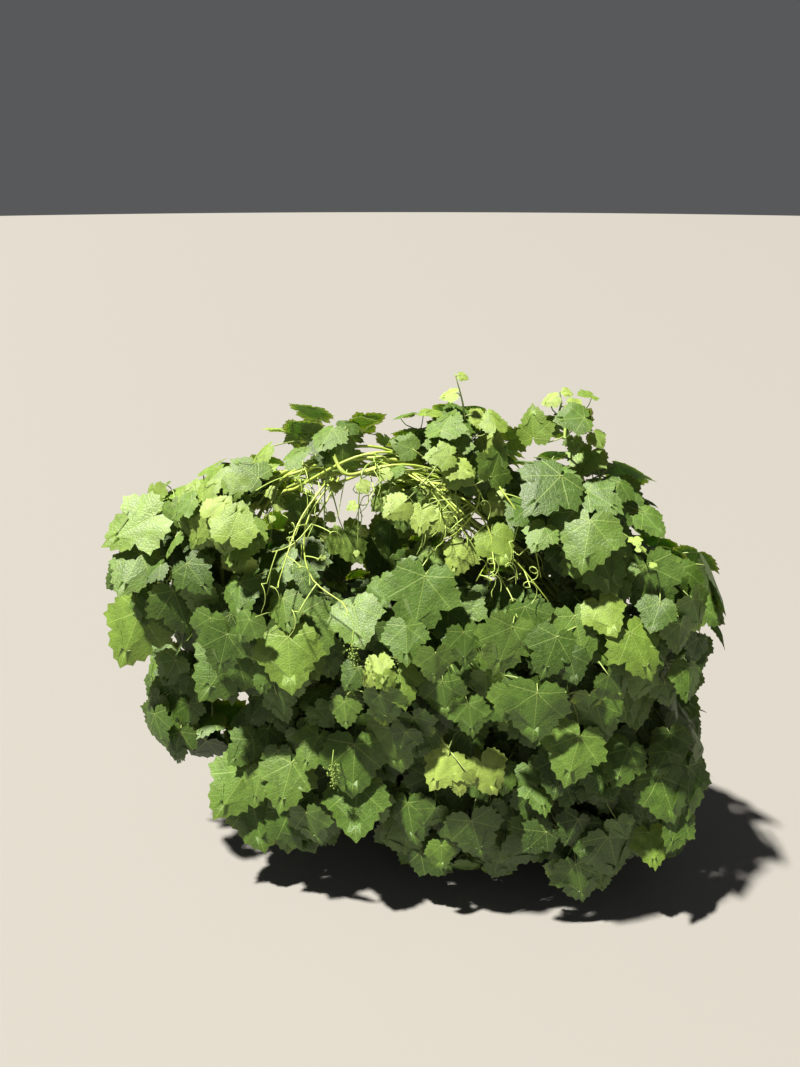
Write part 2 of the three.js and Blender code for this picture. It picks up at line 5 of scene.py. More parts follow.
import bmesh
import bpy
from mathutils import Matrix, Vector, noise
from mathutils.bvhtree import BVHTree


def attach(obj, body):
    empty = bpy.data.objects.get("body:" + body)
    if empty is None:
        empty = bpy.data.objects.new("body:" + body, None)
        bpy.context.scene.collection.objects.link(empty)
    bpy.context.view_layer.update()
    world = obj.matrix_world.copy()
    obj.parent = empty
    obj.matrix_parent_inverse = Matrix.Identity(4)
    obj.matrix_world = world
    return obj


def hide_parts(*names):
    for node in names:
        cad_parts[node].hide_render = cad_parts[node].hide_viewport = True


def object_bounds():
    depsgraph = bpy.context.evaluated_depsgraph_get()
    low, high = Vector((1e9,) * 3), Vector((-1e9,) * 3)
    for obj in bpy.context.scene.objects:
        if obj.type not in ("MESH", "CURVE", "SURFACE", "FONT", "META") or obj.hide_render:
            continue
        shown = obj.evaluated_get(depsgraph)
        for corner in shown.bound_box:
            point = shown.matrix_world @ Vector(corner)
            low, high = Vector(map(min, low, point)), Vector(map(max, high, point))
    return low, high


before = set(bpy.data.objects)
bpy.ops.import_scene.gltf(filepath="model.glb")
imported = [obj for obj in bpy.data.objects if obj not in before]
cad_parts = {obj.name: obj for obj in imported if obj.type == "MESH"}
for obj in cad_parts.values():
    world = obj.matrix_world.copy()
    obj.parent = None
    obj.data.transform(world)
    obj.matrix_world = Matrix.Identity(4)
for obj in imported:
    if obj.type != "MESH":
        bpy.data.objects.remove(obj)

# A grapevine in early summer leaf, whose long green shoots are laid over from both ends and plaited into a
# low arch. The plant is set out in millimetres, on the same named sizes as its solids, and each finished
# piece is scaled to metres.

cad_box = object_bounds()

METRE = 1000  # in the plant's own millimetres

# Trunk and arms
TRUNK_HEIGHT = 320
TRUNK_FOOT, TRUNK_WAIST, TRUNK_HEAD = 52, 29, 40  # radii
TRUNK_BENDS = (0.2, 0.6)  # how far up the shin and the waist are
TRUNK_FLARE_FADE = 9  # how fast the flare dies away up the trunk
TRUNK_HEAD_PLACE = 0.86  # how far up the head is widest
TRUNK_HEAD_SPREAD = 0.16
TRUNK_LEAN = Vector((14, -8, 0))  # how far the head stands off the foot
TRUNK_SWAY = Vector((1, 0, 0))  # how far the waist stands off the foot
ARM_HEIGHT = 345
ARM_ENDS = {"left": -425, "right": 350}
ARM_RISE = 12  # from the middle of an arm to its end
ARM_DIP = 14  # from the middle of an arm to where it leaves the head
ARM_SHOULDER = 60  # how far out of the head an arm levels off
ARM_MIDDLE = 0.55  # how far out its middle is, of its end's place
ARM_WEAVE = (-4, 8)  # how far it stands off the row's line, at its shoulder and its middle
ARM_RADII = (13, 8)

# Bark: ridges, and strips across them, by how fast they change round the wood and along it
BARK_RIDGES = (4.42, 4.08)
BARK_STRIPS = (7, 5)
BARK_LENGTH = 100  # length of wood that they are measured by
BARK_STRIP_DEPTH = 0.6  # of the ridges'
WOOD_TIP = 0.6  # how far the wood draws in at its end
# Sides and rings of the woody limbs, and how deep their bark is
WOOD = {"trunk": (40, 54, 2.6), "arm": (14, 44, 1.1)}

# Plait
STRAND_COUNTS = {"left": 3, "right": 2}
STRAND_FOOT, STRAND_BEND, STRAND_TIP = 5.8, 4.6, 4  # radii
STRAND_PLACES = 6  # lengths that a strand's run along the arch is drawn in
PLAIT_RADIUS = 17  # from the middle of the bundle to the middle of a strand
PLAIT_TWIST = 0.55  # turns along the whole arch
ARCH_PLACES = [
    (-505, 0, 800),
    (-425, -3, 912),
    (-300, -5, 960),
    (-150, -8, 968),
    (30, -6, 852),
    (228, 0, 650),
]
STRAND_SWING = 2.8  # how far a strand stands off the bundle before it turns to its mass, of its radius
STRANDS = {
    "left_1": {"end": 0.43, "mass": "crown"},
    "left_2": {"end": 0.86},
    "left_3": {"end": 0.74},
    "right_1": {"end": 0.44, "mass": "crown_left"},
    "right_2": {"end": 0.2},
}
RISER_FEET = {"left": 0.91, "right": 0.8}  # how far along its arm the outermost one stands
RISER_STEPS = {"left": 0.13, "right": 0.2}  # from one to the next, of the arm's length
RISER_BOWS = {"left": -62, "right": 31}  # how far they stand out to the side, half way up
RISER_BENDS = (0.35, 0.72)  # how far up they stand out
RISER_SPREAD = 26  # between neighbouring risers, half way up

# A green shoot's joints, where it swells and steps aside
JOINT_STEP = 74
JOINT_SHARPNESS = 11
JOINT_SWELL = 0.28  # of its radius
JOINT_SWAY = 1.3
SHOOT_RING_STEP = 7  # from ring to ring

# Thin side shoots laced round the plait: where they start and end along it, their turn and how far out
LACING = [
    (0.03, 0.66, 0.1, 1.5),
    (0.12, 0.5, 0.55, 1.8),
    (0.97, 0.36, 0.3, 1.6),
    (0.3, 0.8, 0.8, 2.0),
    (0.2, 0.56, 0.35, 2.1),
    (0.24, 0.6, 0.7, 2.3),
    (0.28, 0.52, 0.95, 2.6),
    (0.5, 0.86, 0.2, 2.5),
    (0.16, 0.62, 0.85, 1.3),
    (0.44, 0.9, 0.6, 2.8),
]
LACING_PLACES = 10
LACING_TWIST = 1.6  # turns along the whole arch
LACING_START = (0.3, 0.35)  # how far out they start, of that, and how much further each place is
LACING_RADII = (4.1, 2.5)
# Shoots that spill out of the plait to the front and hang over the leaves below it
SPILLS = [
    [(-120, -30, 968), (-40, -90, 930), (40, -135, 850), (95, -150, 760)],
    [(-90, -25, 955), (0, -105, 905), (105, -150, 830), (190, -170, 735)],
    [(-60, -30, 935), (20, -110, 925), (60, -150, 860), (30, -175, 790)],
    [(-150, -20, 972), (-70, -85, 945), (-40, -110, 880), (-60, -110, 820)],
    [(20, -40, 1005), (75, -105, 960), (135, -140, 880), (160, -165, 800)],
    [(-20, -35, 990), (30, -120, 950), (-10, -140, 885), (-45, -120, 850)],
    [(-298, -40, 945), (-343, -120, 884), (-357, -190, 833), (-369, -235, 784)],
    [(-285, -40, 950), (-331, -122, 873), (-311, -190, 792), (-224, -250, 758)],
    [(-273, -40, 952), (-304, -120, 897), (-350, -170, 849), (-388, -190, 840)],
]
SPILL_RADII = (2.5, 1.2)
SPILL_TENDRILS = 4

# Tendrils along the plait
LACE_SEED = 77
TENDRIL_COUNT = 56
TENDRIL_STRETCH = (0.12, 0.86)  # of the arch
TENDRIL_LENGTHS = (70, 190)
SIDE_TENDRIL_LENGTHS = (60, 130)  # on a spilling shoot
TENDRIL_STEPS = 26
TENDRIL_STRAIGHT = 0.5  # how far along one starts to curl
TENDRIL_TURNS = (0.4, 1.5)
TENDRIL_COILS = (7, 20)  # radii of its curl
TENDRIL_SAG = 0.35  # of its length
TENDRIL_RADII = (1.5, 0.8)
# Soft shoot tips that arch out of the plait and hang
TIP_COUNT = 6
TIP_STRETCH = (0.2, 0.72)
TIP_LENGTHS = (110, 230)
TIP_RADII = (2.3, 1.0)
TIP_LEAVES = (0.27, 0.12)  # width of the first and the last, of a middling leaf's
TIP_TONE = 0.95  # how young the green of leaves at a shoot's tip is
# Single leaves that show: the middle, the width, the way the upper face looks, the way the tip points, and
# how young its green is
SHOWN_LEAVES = [
    ((-267, -22, 1002), 92, (0.25, -1, 0.15), (0.1, 0, 1), 0.5),
    ((-255, -34, 800), 104, (0.1, -0.9, 0.5), (0.5, 0, -1), 0.6),
    ((45, -30, 1030), 78, (-0.4, -1, 0.3), (0.3, 0, 1), 0.95),
    ((-48, -90, 905), 90, (0.2, -1, 0.35), (-0.2, 0, -1), 0.95),
    ((-8, -150, 832), 84, (-0.3, -1, 0.5), (-0.2, 0, -1), 0.9),
    ((70, -150, 862), 90, (0.3, -1, 0.6), (0.4, 0, -1), 0.8),
    ((-373, 5, 858), 92, (0.3, -0.9, 0.4), (-0.2, 0, -1), 0.45),
    ((-150, 45, 868), 110, (-0.2, -0.9, 0.4), (0.2, 0, -1), 0.3),
    ((-172, 30, 795), 104, (0.2, -0.9, 0.35), (-0.1, 0, -1), 0.35),
    ((-80, -30, 855), 96, (0.1, -0.9, 0.5), (0.1, 0, -1), 0.5),
    ((-72, -85, 790), 88, (0.1, -0.9, 0.5), (-0.2, 0, -1), 0.6),
    ((-370, 40, 770), 112, (0.1, -0.9, 0.4), (0.1, 0, -1), 0.3),
    ((-300, 70, 715), 110, (-0.1, -0.9, 0.5), (0.1, 0, -1), 0.25),
    ((-200, 70, 725), 116, (0.1, -0.9, 0.5), (-0.1, 0, -1), 0.3),
    ((-330, 60, 940), 84, (0.1, -1, 0.2), (0.2, 0, 1), 0.45),
    ((-711, -110, 850), 158, (-0.1, -0.7, 0.75), (-0.8, -0.2, -0.6), 0.66),
    ((-723, -175, 622), 170, (-0.05, -0.95, 0.4), (-0.3, 0, -1), 0.62),
    ((-346, -265, 640), 148, (0.0, -0.9, 0.45), (0.1, 0, -1), 0.66),
    ((-600, -190, 700), 130, (0.5, -0.8, 0.3), (0.2, 0, -1), 0.4),
    ((-24, -296, 408), 104, (-0.3, -0.9, 0.5), (-0.3, 0, -1), 0.93),
    ((72, -296, 402), 100, (0.35, -0.9, 0.5), (0.35, 0, -1), 0.9),
    ((14, -309, 378), 50, (0, -1, 0.3), (0.1, 0, -1), 0.97),
    ((36, -312, 404), 34, (0.2, -1, 0.2), (0.5, 0, -0.8), 0.97),
    ((-210, -290, 285), 150, (-0.1, -0.8, 0.55), (0.1, 0, -1), 0.4),
    ((-363, -285, 333), 138, (0.1, -0.8, 0.6), (-0.2, 0, -1), 0.55),
    ((-155, -285, 642), 62, (0, -0.7, 0.7), (0.2, 0, -1), 0.88),
    ((-176, -296, 620), 46, (-0.4, -0.9, 0.3), (-0.5, 0, -1), 0.92),
    ((-138, -298, 617), 50, (0.4, -0.9, 0.4), (0.5, 0, -1), 0.8),
    ((274, -165, 850), 150, (0.2, -0.8, 0.6), (0.3, 0, -1), 0.5),
    ((287, -215, 752), 92, (0, -0.8, 0.6), (0.4, 0, -1), 0.8),
    ((355, -235, 690), 128, (0.3, -0.8, 0.6), (0.3, 0, -1), 0.6),
    ((245, -295, 471), 135, (0, -0.9, 0.45), (-0.2, 0, -1), 0.45),
    ((452, -245, 343), 135, (0.3, -0.8, 0.5), (0.2, 0, -1), 0.42),
    ((440, -245, 196), 96, (0.1, -0.8, 0.6), (0.1, 0, -1), 0.64),
]
# Thin shoots that stray out of the crown
STRAY_SHOOTS = [[(200, -40, 880), (262, -118, 912), (330, -140, 885), (384, -135, 832)]]
STRAY_RADII = (2.4, 1.1)
STRAY_LEAVES = (0.4, 0.15)
STRAY_LEAF_COUNT = 6
STRAY_LEAF_GAP = 22  # from its shoot to a leaf's middle
STRAY_TONE = 0.9
# Small green flower clusters, where they hang among the leaves
CLUSTERS = [(-210, -285, 690), (-257, -305, 400), (-60, 280, 540), (250, 290, 420)]
CLUSTER_LENGTH = 52
CLUSTER_RADII = (1.3, 1.1, 0.6)  # of its stem, where it leaves the shoot, at its bend and at its end
CLUSTER_BEADS = 80
CLUSTER_SPREAD = (4, 19)  # how far its buds stand off its stem
CLUSTER_TAPER = 0.75  # how much nearer they stand at its end
CLUSTER_LOOSENESS = 3
BUD_RADII = (1.5, 2.3)

# Boughs and twigs
BOUGH_RADII = (5.2, 4.6)
BOUGH_RISE = 0.12  # how far its middle stands above a straight line, of its length
BOUGH_LEAST = 55  # shortest bough
ENTRY_REACH = 0.72  # how deep in its mass a bough ends, 0 at its middle and 1 at its surface
ENTRY_DEPTH = 12  # least distance from a bough's tip to the border of its mass
ENTRY_STEPS = 60
STEM_TIP_RADIUS = 4.4
STEM_BEND = 30  # how far a stem goes on in its bough's direction
TWIG_COUNT = 3
TWIG_RADII = (3.1, 2.2)
TWIG_REACH = 0.62  # how far out they go in their mass, 1 at its surface
TWIG_ROOT_STEP = 0.25  # between the roots of two twigs, of the stem's length
TWIG_FIRST_ROOT = 0.1  # from the stem's tip to the first root, of a step
TWIG_KNEE = 9  # how far a twig steps aside at its middle
TWIG_RING_STEP = 24
FINE_TWIG_RADII = (2.0, 1.4)
FINE_TWIG_RISE = 8  # how far its middle stands up
FINE_TWIG_LOOSENESS = 7
NODE_STEP = 26  # between two places on a twig where a stalk can sit
BARE_TIP = 0.3  # of a twig beyond its last node, of a step
RUNNER_STEP = 34  # between two leaves of a shoot tip that stands out of its mass
RUNNER_BOW = Vector((5, 3, 0))
RUNNER_LEAVES = (0.6, 0.22)
RUNNER_TIP_RADIUS = 0.9

# Leaves
LEAF_WIDTH = 121  # of a middling leaf
LEAF_SIZES = (0.6, 1.42)
YOUNG_LEAF_SIZES = (0.65, 1.3)
LEAF_SMALLNESS = 1.5  # above 1 there are more small leaves than large
LEAF_CENTRE = 0.28  # from the stalk's joint to the middle of the blade, of the width
LEAF_SPACING = 0.3  # least distance between two leaves' middles, of the width
LEAF_NEAR = 0.55  # leaves further apart don't meet, of their two widths
LEAF_LIFT = (0.1, 1.6)  # how much a leaf faces up, beside facing out
YOUNG_LIFT = (-0.2, 0.8)
ROW_TURN = 0.45  # how much a leaf faces along the row, beside what its place would make it
SIDE_TURN = 0.9  # how much more it faces the row's nearer side
ROW_ENDS = (-570, 420)  # beyond them many leaves face along the row instead
END_SHARE = 0.4  # of the leaves there do
END_TURN = 1.3
LEAF_HANG = 0.4  # how much its tip points out, beside pointing down
YOUNG_HANG = 0.8
YOUNG_RISE = (-0.9, 1.1)  # how much a young leaf's tip points up, low and high in its mass
YOUNG_TOP = 0.1  # how far up its mass the high ones start
# An outer and an inner layer of leaves: places in a mass, times the square of its size over a leaf's, and how
# far out they sit, 1 at its surface
LEAF_LAYERS = [(33, (0.76, 1.02)), (13, (0.38, 0.7))]
LEAF_BACK = -0.45  # how far round the inner side of a mass its leaves go
LOOSENESS = 0.34  # of a leaf's place and turn
LEAF_LOOSENESS = 0.85  # of the way a leaf faces
GROUND_MARGIN = 42  # between the lowest leaf and the ground
BORDER_EASE = 900  # how far a leaf's middle may cross the border of its mass, as a square
LEAF_EDGE = 0.006  # thickness at the middle, of the width
STALK_RADII = (1.5, 1.2)
STALK_REACH = 105  # longest stalk
STALK_LEAST = 55  # length of a stalk on a twig that was grown for its leaf
STALK_BEND = 0.55  # how far along it bends
STALK_BOW = (0.12, 0.06)  # how far it stands back there along its leaf, and below it, of the width
STALK_SEAT = (0.012, 0.6)  # how far in it ends, of the width, and below the leaf, of its radius
# Attempts to seat a leaf, and how each differs from the one before
TRIES = 5
TRY_SHRINK = 0.05
TRY_RETREAT = 0.04
TRY_LOOSENESS = (0.3, 0.12)  # of the first, and what each adds
FIRST_SEED = 11
CORE_HEIGHTS = (260, 760)  # between them a mass looks out sideways
CORE_LENGTH = 0.8  # of the arms' length

# Where the plait stays in view and in the sun
PLAIT_FRONT = Vector((0.06, -0.9, 0.43))  # the plait's light sides, where its leaves were tucked away
PLAIT_ABOVE = Vector((-0.36, -0.1, 0.93))
PLAIT_BARE = [(0.12, 0.56), (0.62, 0.7), (0.76, 0.94)]  # stretches of the arch with a bare front
PLAIT_OPEN = (0.2, 0.6)  # the stretch that is open above as well
PLAIT_PLACES = 24  # that are looked at along a stretch
PLAIT_LAYERS = (-20, 28)  # how far before the arch they stand, and from one layer to the next
PLAIT_BARE_DEPTH = 260
SHOWN_BRIGHT = 0.6  # shown leaves with a younger green than this stay in view as well
SHOWN_STEP = Vector((0, -12, 8))  # from such a leaf's middle to the place that is looked at

# How young a leaf's green is, with painted shade deep in a mass, from 0 in deep shade to 1 at a shoot's tip
TONE_LEAST = 0.1
TONE_SPREAD = 0.38
TONE_RISE = 0.12  # from the ground to a metre up
TONE_PATCHES = 0.06  # how much patches of the vine differ
TONE_PATCH_SCALE = 0.011
YOUNG_TONES = (0.15, 0.42)  # what a young mass adds
DEEP_SHADE = 1.6  # painted shade: how much darker the green is deep in a mass
SHADE_REACH = 0.86  # how far out in a mass the painted shade ends, 1 at its surface

# Half of a leaf's toothed outline, from the notch at its stalk round to its tip: across and along, in widths.
# One leaf is deeply lobed and one nearly round, and the shapes lie between them.
LOBED_OUTLINE = [
    (0.0, -0.005), (0.045, -0.12), (0.11, -0.19), (0.175, -0.165), (0.25, -0.2), (0.3, -0.13),
    (0.375, -0.115), (0.37, -0.035), (0.43, 0.015), (0.39, 0.07), (0.5, 0.125), (0.485, 0.2),
    (0.54, 0.285), (0.43, 0.315), (0.385, 0.375), (0.27, 0.385), (0.325, 0.48), (0.27, 0.525),
    (0.255, 0.62), (0.165, 0.65), (0.13, 0.745), (0.065, 0.75), (0.0, 0.85),
]
ROUND_OUTLINE = [
    (0.0, 0.0), (0.04, -0.115), (0.115, -0.175), (0.185, -0.16), (0.26, -0.185), (0.32, -0.13),
    (0.395, -0.11), (0.42, -0.035), (0.48, 0.01), (0.465, 0.075), (0.525, 0.135), (0.495, 0.2),
    (0.535, 0.28), (0.46, 0.315), (0.44, 0.385), (0.365, 0.395), (0.375, 0.475), (0.305, 0.515),
    (0.285, 0.6), (0.205, 0.63), (0.165, 0.705), (0.085, 0.725), (0.0, 0.81),
]
# The same leaf with few corners, for measuring whether two leaves meet
LEAF_COARSE_HALF = [(0.28, -0.2), (0.52, 0.22), (0.3, 0.5)]
LEAF_COARSE_OUTLINE = [(0, 0), *LEAF_COARSE_HALF, (0, 0.82), *[(-x, y) for x, y in LEAF_COARSE_HALF[::-1]]]
LEAF_SHAPES = 6
LEAF_SHAPE_SEED = 400
# How a leaf droops to its rim, folds along its middle, waves and curls at its tip, in widths
LEAF_FORM = {
    "droop": (0.08, 0.3),
    "fold": (-0.12, 0.24),
    "wave": (0.02, 0.055),
    "phase": (0, 6.28),
    "curl": (-0.1, 0.3),
}
LEAF_SKEW = 0.08  # how much wider one half is
RIM_LOOSENESS = 0.012
UV_WINDOW = 1.2  # side of the square that a leaf's drawing fills, in widths
UV_LOW = -0.3

# Greens from painted deep shade to shoot tip, as the base colours of the leaves that are dealt to them
LEAF_TINTS = {
    # painted shade: the darkest greens stand in for the shade deep in a mass
    "leaves_deep": (0.026, 0.058, 0.005),
    "leaves_dark": (0.040, 0.086, 0.007),
    "leaves_plain": (0.058, 0.116, 0.012),
    "leaves_full": (0.082, 0.150, 0.018),
    "leaves_light": (0.118, 0.198, 0.022),
    "leaves_fresh": (0.160, 0.248, 0.032),
    "leaves_young": (0.230, 0.322, 0.056),
}
# Sprays of younger leaves among the full-grown ones: where, how far they reach and how much lighter they are
FRESH_SPRAYS = [
    ((-155, -280, 627), 55, 0.5),
    ((287, -200, 760), 75, 0.35),
    ((219, -280, 565), 45, 0.15),
    ((6, -80, 838), 120, 0.45),
    ((-490, -50, 960), 90, 0.1),
    ((-406, -80, 864), 110, 0.1),
    ((-711, -80, 849), 120, 0.2),
    ((-723, -150, 622), 90, 0.2),
    ((-346, -250, 651), 90, 0.2),
    ((452, -220, 188), 70, 0.25),
    ((-330, 300, 560), 80, 0.4),
    ((260, 300, 480), 80, 0.4),
    ((560, 40, 420), 80, 0.35),
]
YOUNG_TINTS = ("leaves_fresh", "leaves_young")
SHOOT_GREEN = (0.27, 0.39, 0.085)
LACING_GREEN = (0.4, 0.51, 0.085)
STALK_GREEN = (0.33, 0.42, 0.12)
TENDRIL_GREEN = (0.42, 0.56, 0.13)
BUD_GREEN = (0.2, 0.29, 0.05)

# Looks of a leaf: its veins and blisters are measured in its widths
LEAF_SHEEN = {
    "Subsurface Weight": 0.12,
    "Subsurface Scale": 0.004,
    "Subsurface Radius": (0.6, 1.0, 0.1),
    "Specular IOR Level": 0.5,
}
VEIN_TURN = 0.86  # from one main vein to the next, in radians
VEIN_WIDTH = 0.013  # half of a main vein's, at the stalk
VEIN_TAPER = 0.01
VEIN_EDGE = 0.005
SIDE_VEIN_STEP = 0.115
SIDE_VEIN_SLANT = 0.8
SIDE_VEIN_WIDTH = 0.05  # half of a side vein's, of its step
SIDE_VEIN_EDGE = 0.03
FINE_VEIN_WIDTH = 0.06
BLISTER_SCALE = 17
BLOTCH_SCALE = 5
BLOTCH_SHADES = (0.72, 1.3)
VEIN_GREEN = (0.36, 0.48, 0.11)
UNDERSIDE_GREEN = (0.2, 0.29, 0.09)
UNDERSIDE_VEIN_GREEN = (0.4, 0.5, 0.2)

# Looks of the wood and the shoots
BARK_BROWN = (0.16, 0.12, 0.085)
BARK_CLEFT = (0.052, 0.036, 0.026)
BARK_CREST = (0.27, 0.215, 0.165)
BARK_GREY = (0.33, 0.28, 0.22)
SHOOT_GREENS = [(0.30, 0.39, 0.07), (0.46, 0.52, 0.12)]

# The room, in metres
FLOOR_RADIUS = 40
FLOOR_GREY = (0.215, 0.208, 0.198)
SUN_WAY = Vector((0.35, 0.07, -0.934))
FILL_PLACE, FILL_AIM = Vector((1.4, -3.4, 2.4)), Vector((0, 0, 0.5))
CAMERA_PLACE = (0.0397, -1.6295, 1.54)
CAMERA_TILT, CAMERA_TURN = 66, 6.5  # in degrees


def random_from(seed):
    """A seeded source of numbers between low and high, the same one as in the part."""
    state = seed

    def between(low, high):
        nonlocal state
        state = (state + 0x6D2B79F5) & 0xFFFFFFFF
        value = ((state ^ (state >> 15)) * (1 | state)) & 0xFFFFFFFF
        value = ((value + (((value ^ (value >> 7)) * (61 | value)) & 0xFFFFFFFF)) & 0xFFFFFFFF) ^ value
        return low + (high - low) * ((value ^ (value >> 14)) & 0xFFFFFFFF) / 2**32

    return between


def stray(between, size):
    return Vector((between(-size, size), between(-size, size), between(-size, size)))


def sphere_point(index, count):
    """Evenly spread directions."""
    height = 1 - 2 * (index + 0.5) / count
    turn = index * math.pi * (3 - math.sqrt(5))
    around = math.sqrt(1 - height * height)
    return Vector((around * math.cos(turn), around * math.sin(turn), height))


def mix(low, high, share):
    return low + (high - low) * share


def spline_place(points, along):
    """A place on the smooth curve through points, as the part's curves run."""
    spans = len(points) - 1
    span = min(int(along * spans), spans - 1)
    w = along * spans - span
    b, c = points[span], points[span + 1]
    a = points[span - 1] if span else 2 * b - c
    d = points[span + 2] if span + 2 <= spans else 2 * c - b
    before, here, after = [max((q - p).length, 1e-6) ** 0.5 for p, q in ((a, b), (b, c), (c, d))]
    leave = ((b - a) / before - (c - a) / (before + here) + (c - b) / here) * here
    reach = ((c - b) / here - (d - b) / (here + after) + (d - c) / after) * here
    return b + leave * w + (3 * (c - b) - 2 * leave - reach) * w**2 + (2 * (b - c) + leave + reach) * w**3


class Curve:
    """A smooth curve through points, measured along its length."""

    def __init__(self, points, fineness=24):
        count = (len(points) - 1) * fineness
        self.places = [spline_place(points, i / count) for i in range(count + 1)]
        self.lengths = [0, *accumulate((q - p).length for p, q in zip(self.places, self.places[1:]))]
        self.length = self.lengths[-1]

    def at(self, along):
        far = min(max(along, 0), 1) * self.length
        i = min(bisect_right(self.lengths, far), len(self.lengths) - 1)
        share = (far - self.lengths[i - 1]) / (self.lengths[i] - self.lengths[i - 1])
        return self.places[i - 1].lerp(self.places[i], share)

    def heading(self, along):
        return (self.at(along + 0.01) - self.at(along - 0.01)).normalized()


class Limb:
    """A curve with a radius along it."""

    def __init__(self, points, radii, fineness=24):
        self.curve = Curve(points, fineness)
        self.radii = radii

    def radius(self, along):
        return mix(self.radii[0], self.radii[1], along)

    def rings(self, steps):
        """Evenly spaced places along the limb, and its radius at each."""
        shares = [i / steps for i in range(steps + 1)]
        return [self.curve.at(share) for share in shares], [self.radius(share) for share in shares]


class Trunk(Limb):
    def radius(self, along):
        flared = (TRUNK_FOOT - TRUNK_WAIST) * math.exp(-along * TRUNK_FLARE_FADE)
        off_head = (along - TRUNK_HEAD_PLACE) / TRUNK_HEAD_SPREAD
        return TRUNK_WAIST + flared + (TRUNK_HEAD - TRUNK_WAIST) * math.exp(-(off_head**2))


def make_trunk():
    up = Vector((0, 0, TRUNK_HEIGHT))
    shin, waist = up * TRUNK_BENDS[0], TRUNK_SWAY + up * TRUNK_BENDS[1]
    return Trunk([Vector(), shin, waist, TRUNK_LEAN + up], None)


def make_arm(end):
    start = TRUNK_LEAN + Vector((0, 0, TRUNK_HEIGHT * TRUNK_HEAD_PLACE))
    shoulder = Vector((start.x + math.copysign(ARM_SHOULDER, end), ARM_WEAVE[0], ARM_HEIGHT - ARM_DIP))
    middle = Vector((end * ARM_MIDDLE, ARM_WEAVE[1], ARM_HEIGHT))
    return Limb([start, shoulder, middle, Vector((end, 0, ARM_HEIGHT + ARM_RISE))], ARM_RADII)


arch = Curve([Vector(place) for place in ARCH_PLACES])


def plait_place(turns, along, swing=1.0, twist=PLAIT_TWIST):
    """A place on the arch, so many turns round the bundle's middle."""
    turn = 2 * math.pi * (turns + twist * along)
    heading = arch.heading(along)
    front = (Vector((0, -1, 0)) + heading * heading.y).normalized()
    up = front.cross(heading)
    return arch.at(along) + (front * math.cos(turn) + up * math.sin(turn)) * swing * PLAIT_RADIUS


def make_riser(side, number, strand):
    """A shoot's climb from its arm up to the bend where the plait begins."""
    order = number - (STRAND_COUNTS[side] + 1) / 2
    outward = 1 if side == "left" else -1
    bow = Vector((RISER_BOWS[side] + outward * RISER_SPREAD * order, 0, 0))
    start = limbs[f"arm_{side}"].curve.at(RISER_FEET[side] - RISER_STEPS[side] * (number - 1))
    end = plait_place(strand / len(STRANDS), 0 if side == "left" else 1)
    bends = [start.lerp(end, share) + bow for share in RISER_BENDS]
    return Limb([start, *bends, end], (STRAND_FOOT, STRAND_BEND))


def make_strand(side, number, strand):
    """The same shoot's run along the arch, and then into its mass, if it has one."""
    start = 0 if side == "left" else 1
    own = STRANDS[f"{side}_{number}"]
    turns = strand / len(STRANDS)
    shares = [i / STRAND_PLACES for i in range(STRAND_PLACES + 1)]
    points = [plait_place(turns, mix(start, own["end"], share)) for share in shares]
    if "mass" in own:
        beyond = own["end"] + (own["end"] - start) / STRAND_PLACES
        points.append(plait_place(turns, beyond, STRAND_SWING))
        points.append(entry_place(MASSES[own["mass"]], points[-1]))
    return Limb(points, (STRAND_BEND, STRAND_TIP))


class Mass:
    """A mass of foliage: the space that it keeps to, the limb that its bough grows from, and its leaves."""

    def __init__(self, at, half, source, along=None, bow=(0, 0, 0), **leafing):
        self.middle, self.half = Vector(at), Vector(half)
        self.size = sum(half) / 3
        self.source, self.along, self.bow = source, along, Vector(bow)
        self.young = "young" in leafing
        self.leaf_width = LEAF_WIDTH * leafing.get("young", 1)
        self.full = leafing.get("full", 1)
        self.inner = leafing.get("inner", LEAF_BACK)
        self.runner = leafing.get("runner")
        core = Vector((self.middle.x, 0, self.middle.z))
        core.x = min(max(core.x, ARM_ENDS["left"]), ARM_ENDS["right"]) * CORE_LENGTH
        core.z = min(max(core.z, CORE_HEIGHTS[0]), CORE_HEIGHTS[1])
        self.outward = (self.middle - core).normalized()

    def place(self, out, reach):
        return self.middle + Vector(a * b for a, b in zip(out, self.half)) * reach

    def reach(self, place):
        """How far out a place is: 0 at the middle and 1 at the surface."""
        return Vector(a / b for a, b in zip(place - self.middle, self.half)).length

    def power(self, place):
        """Least in the mass that owns the place."""
        return (place - self.middle).length_squared - self.size**2

    def depth(self, place):
        """How far a place lies inside the borders shared with the neighbours."""
        own = self.power(place)
        others = [other for other in MASSES.values() if other is not self]
        return min((other.power(place) - own) / (2 * (other.middle - self.middle).length) for other in others)


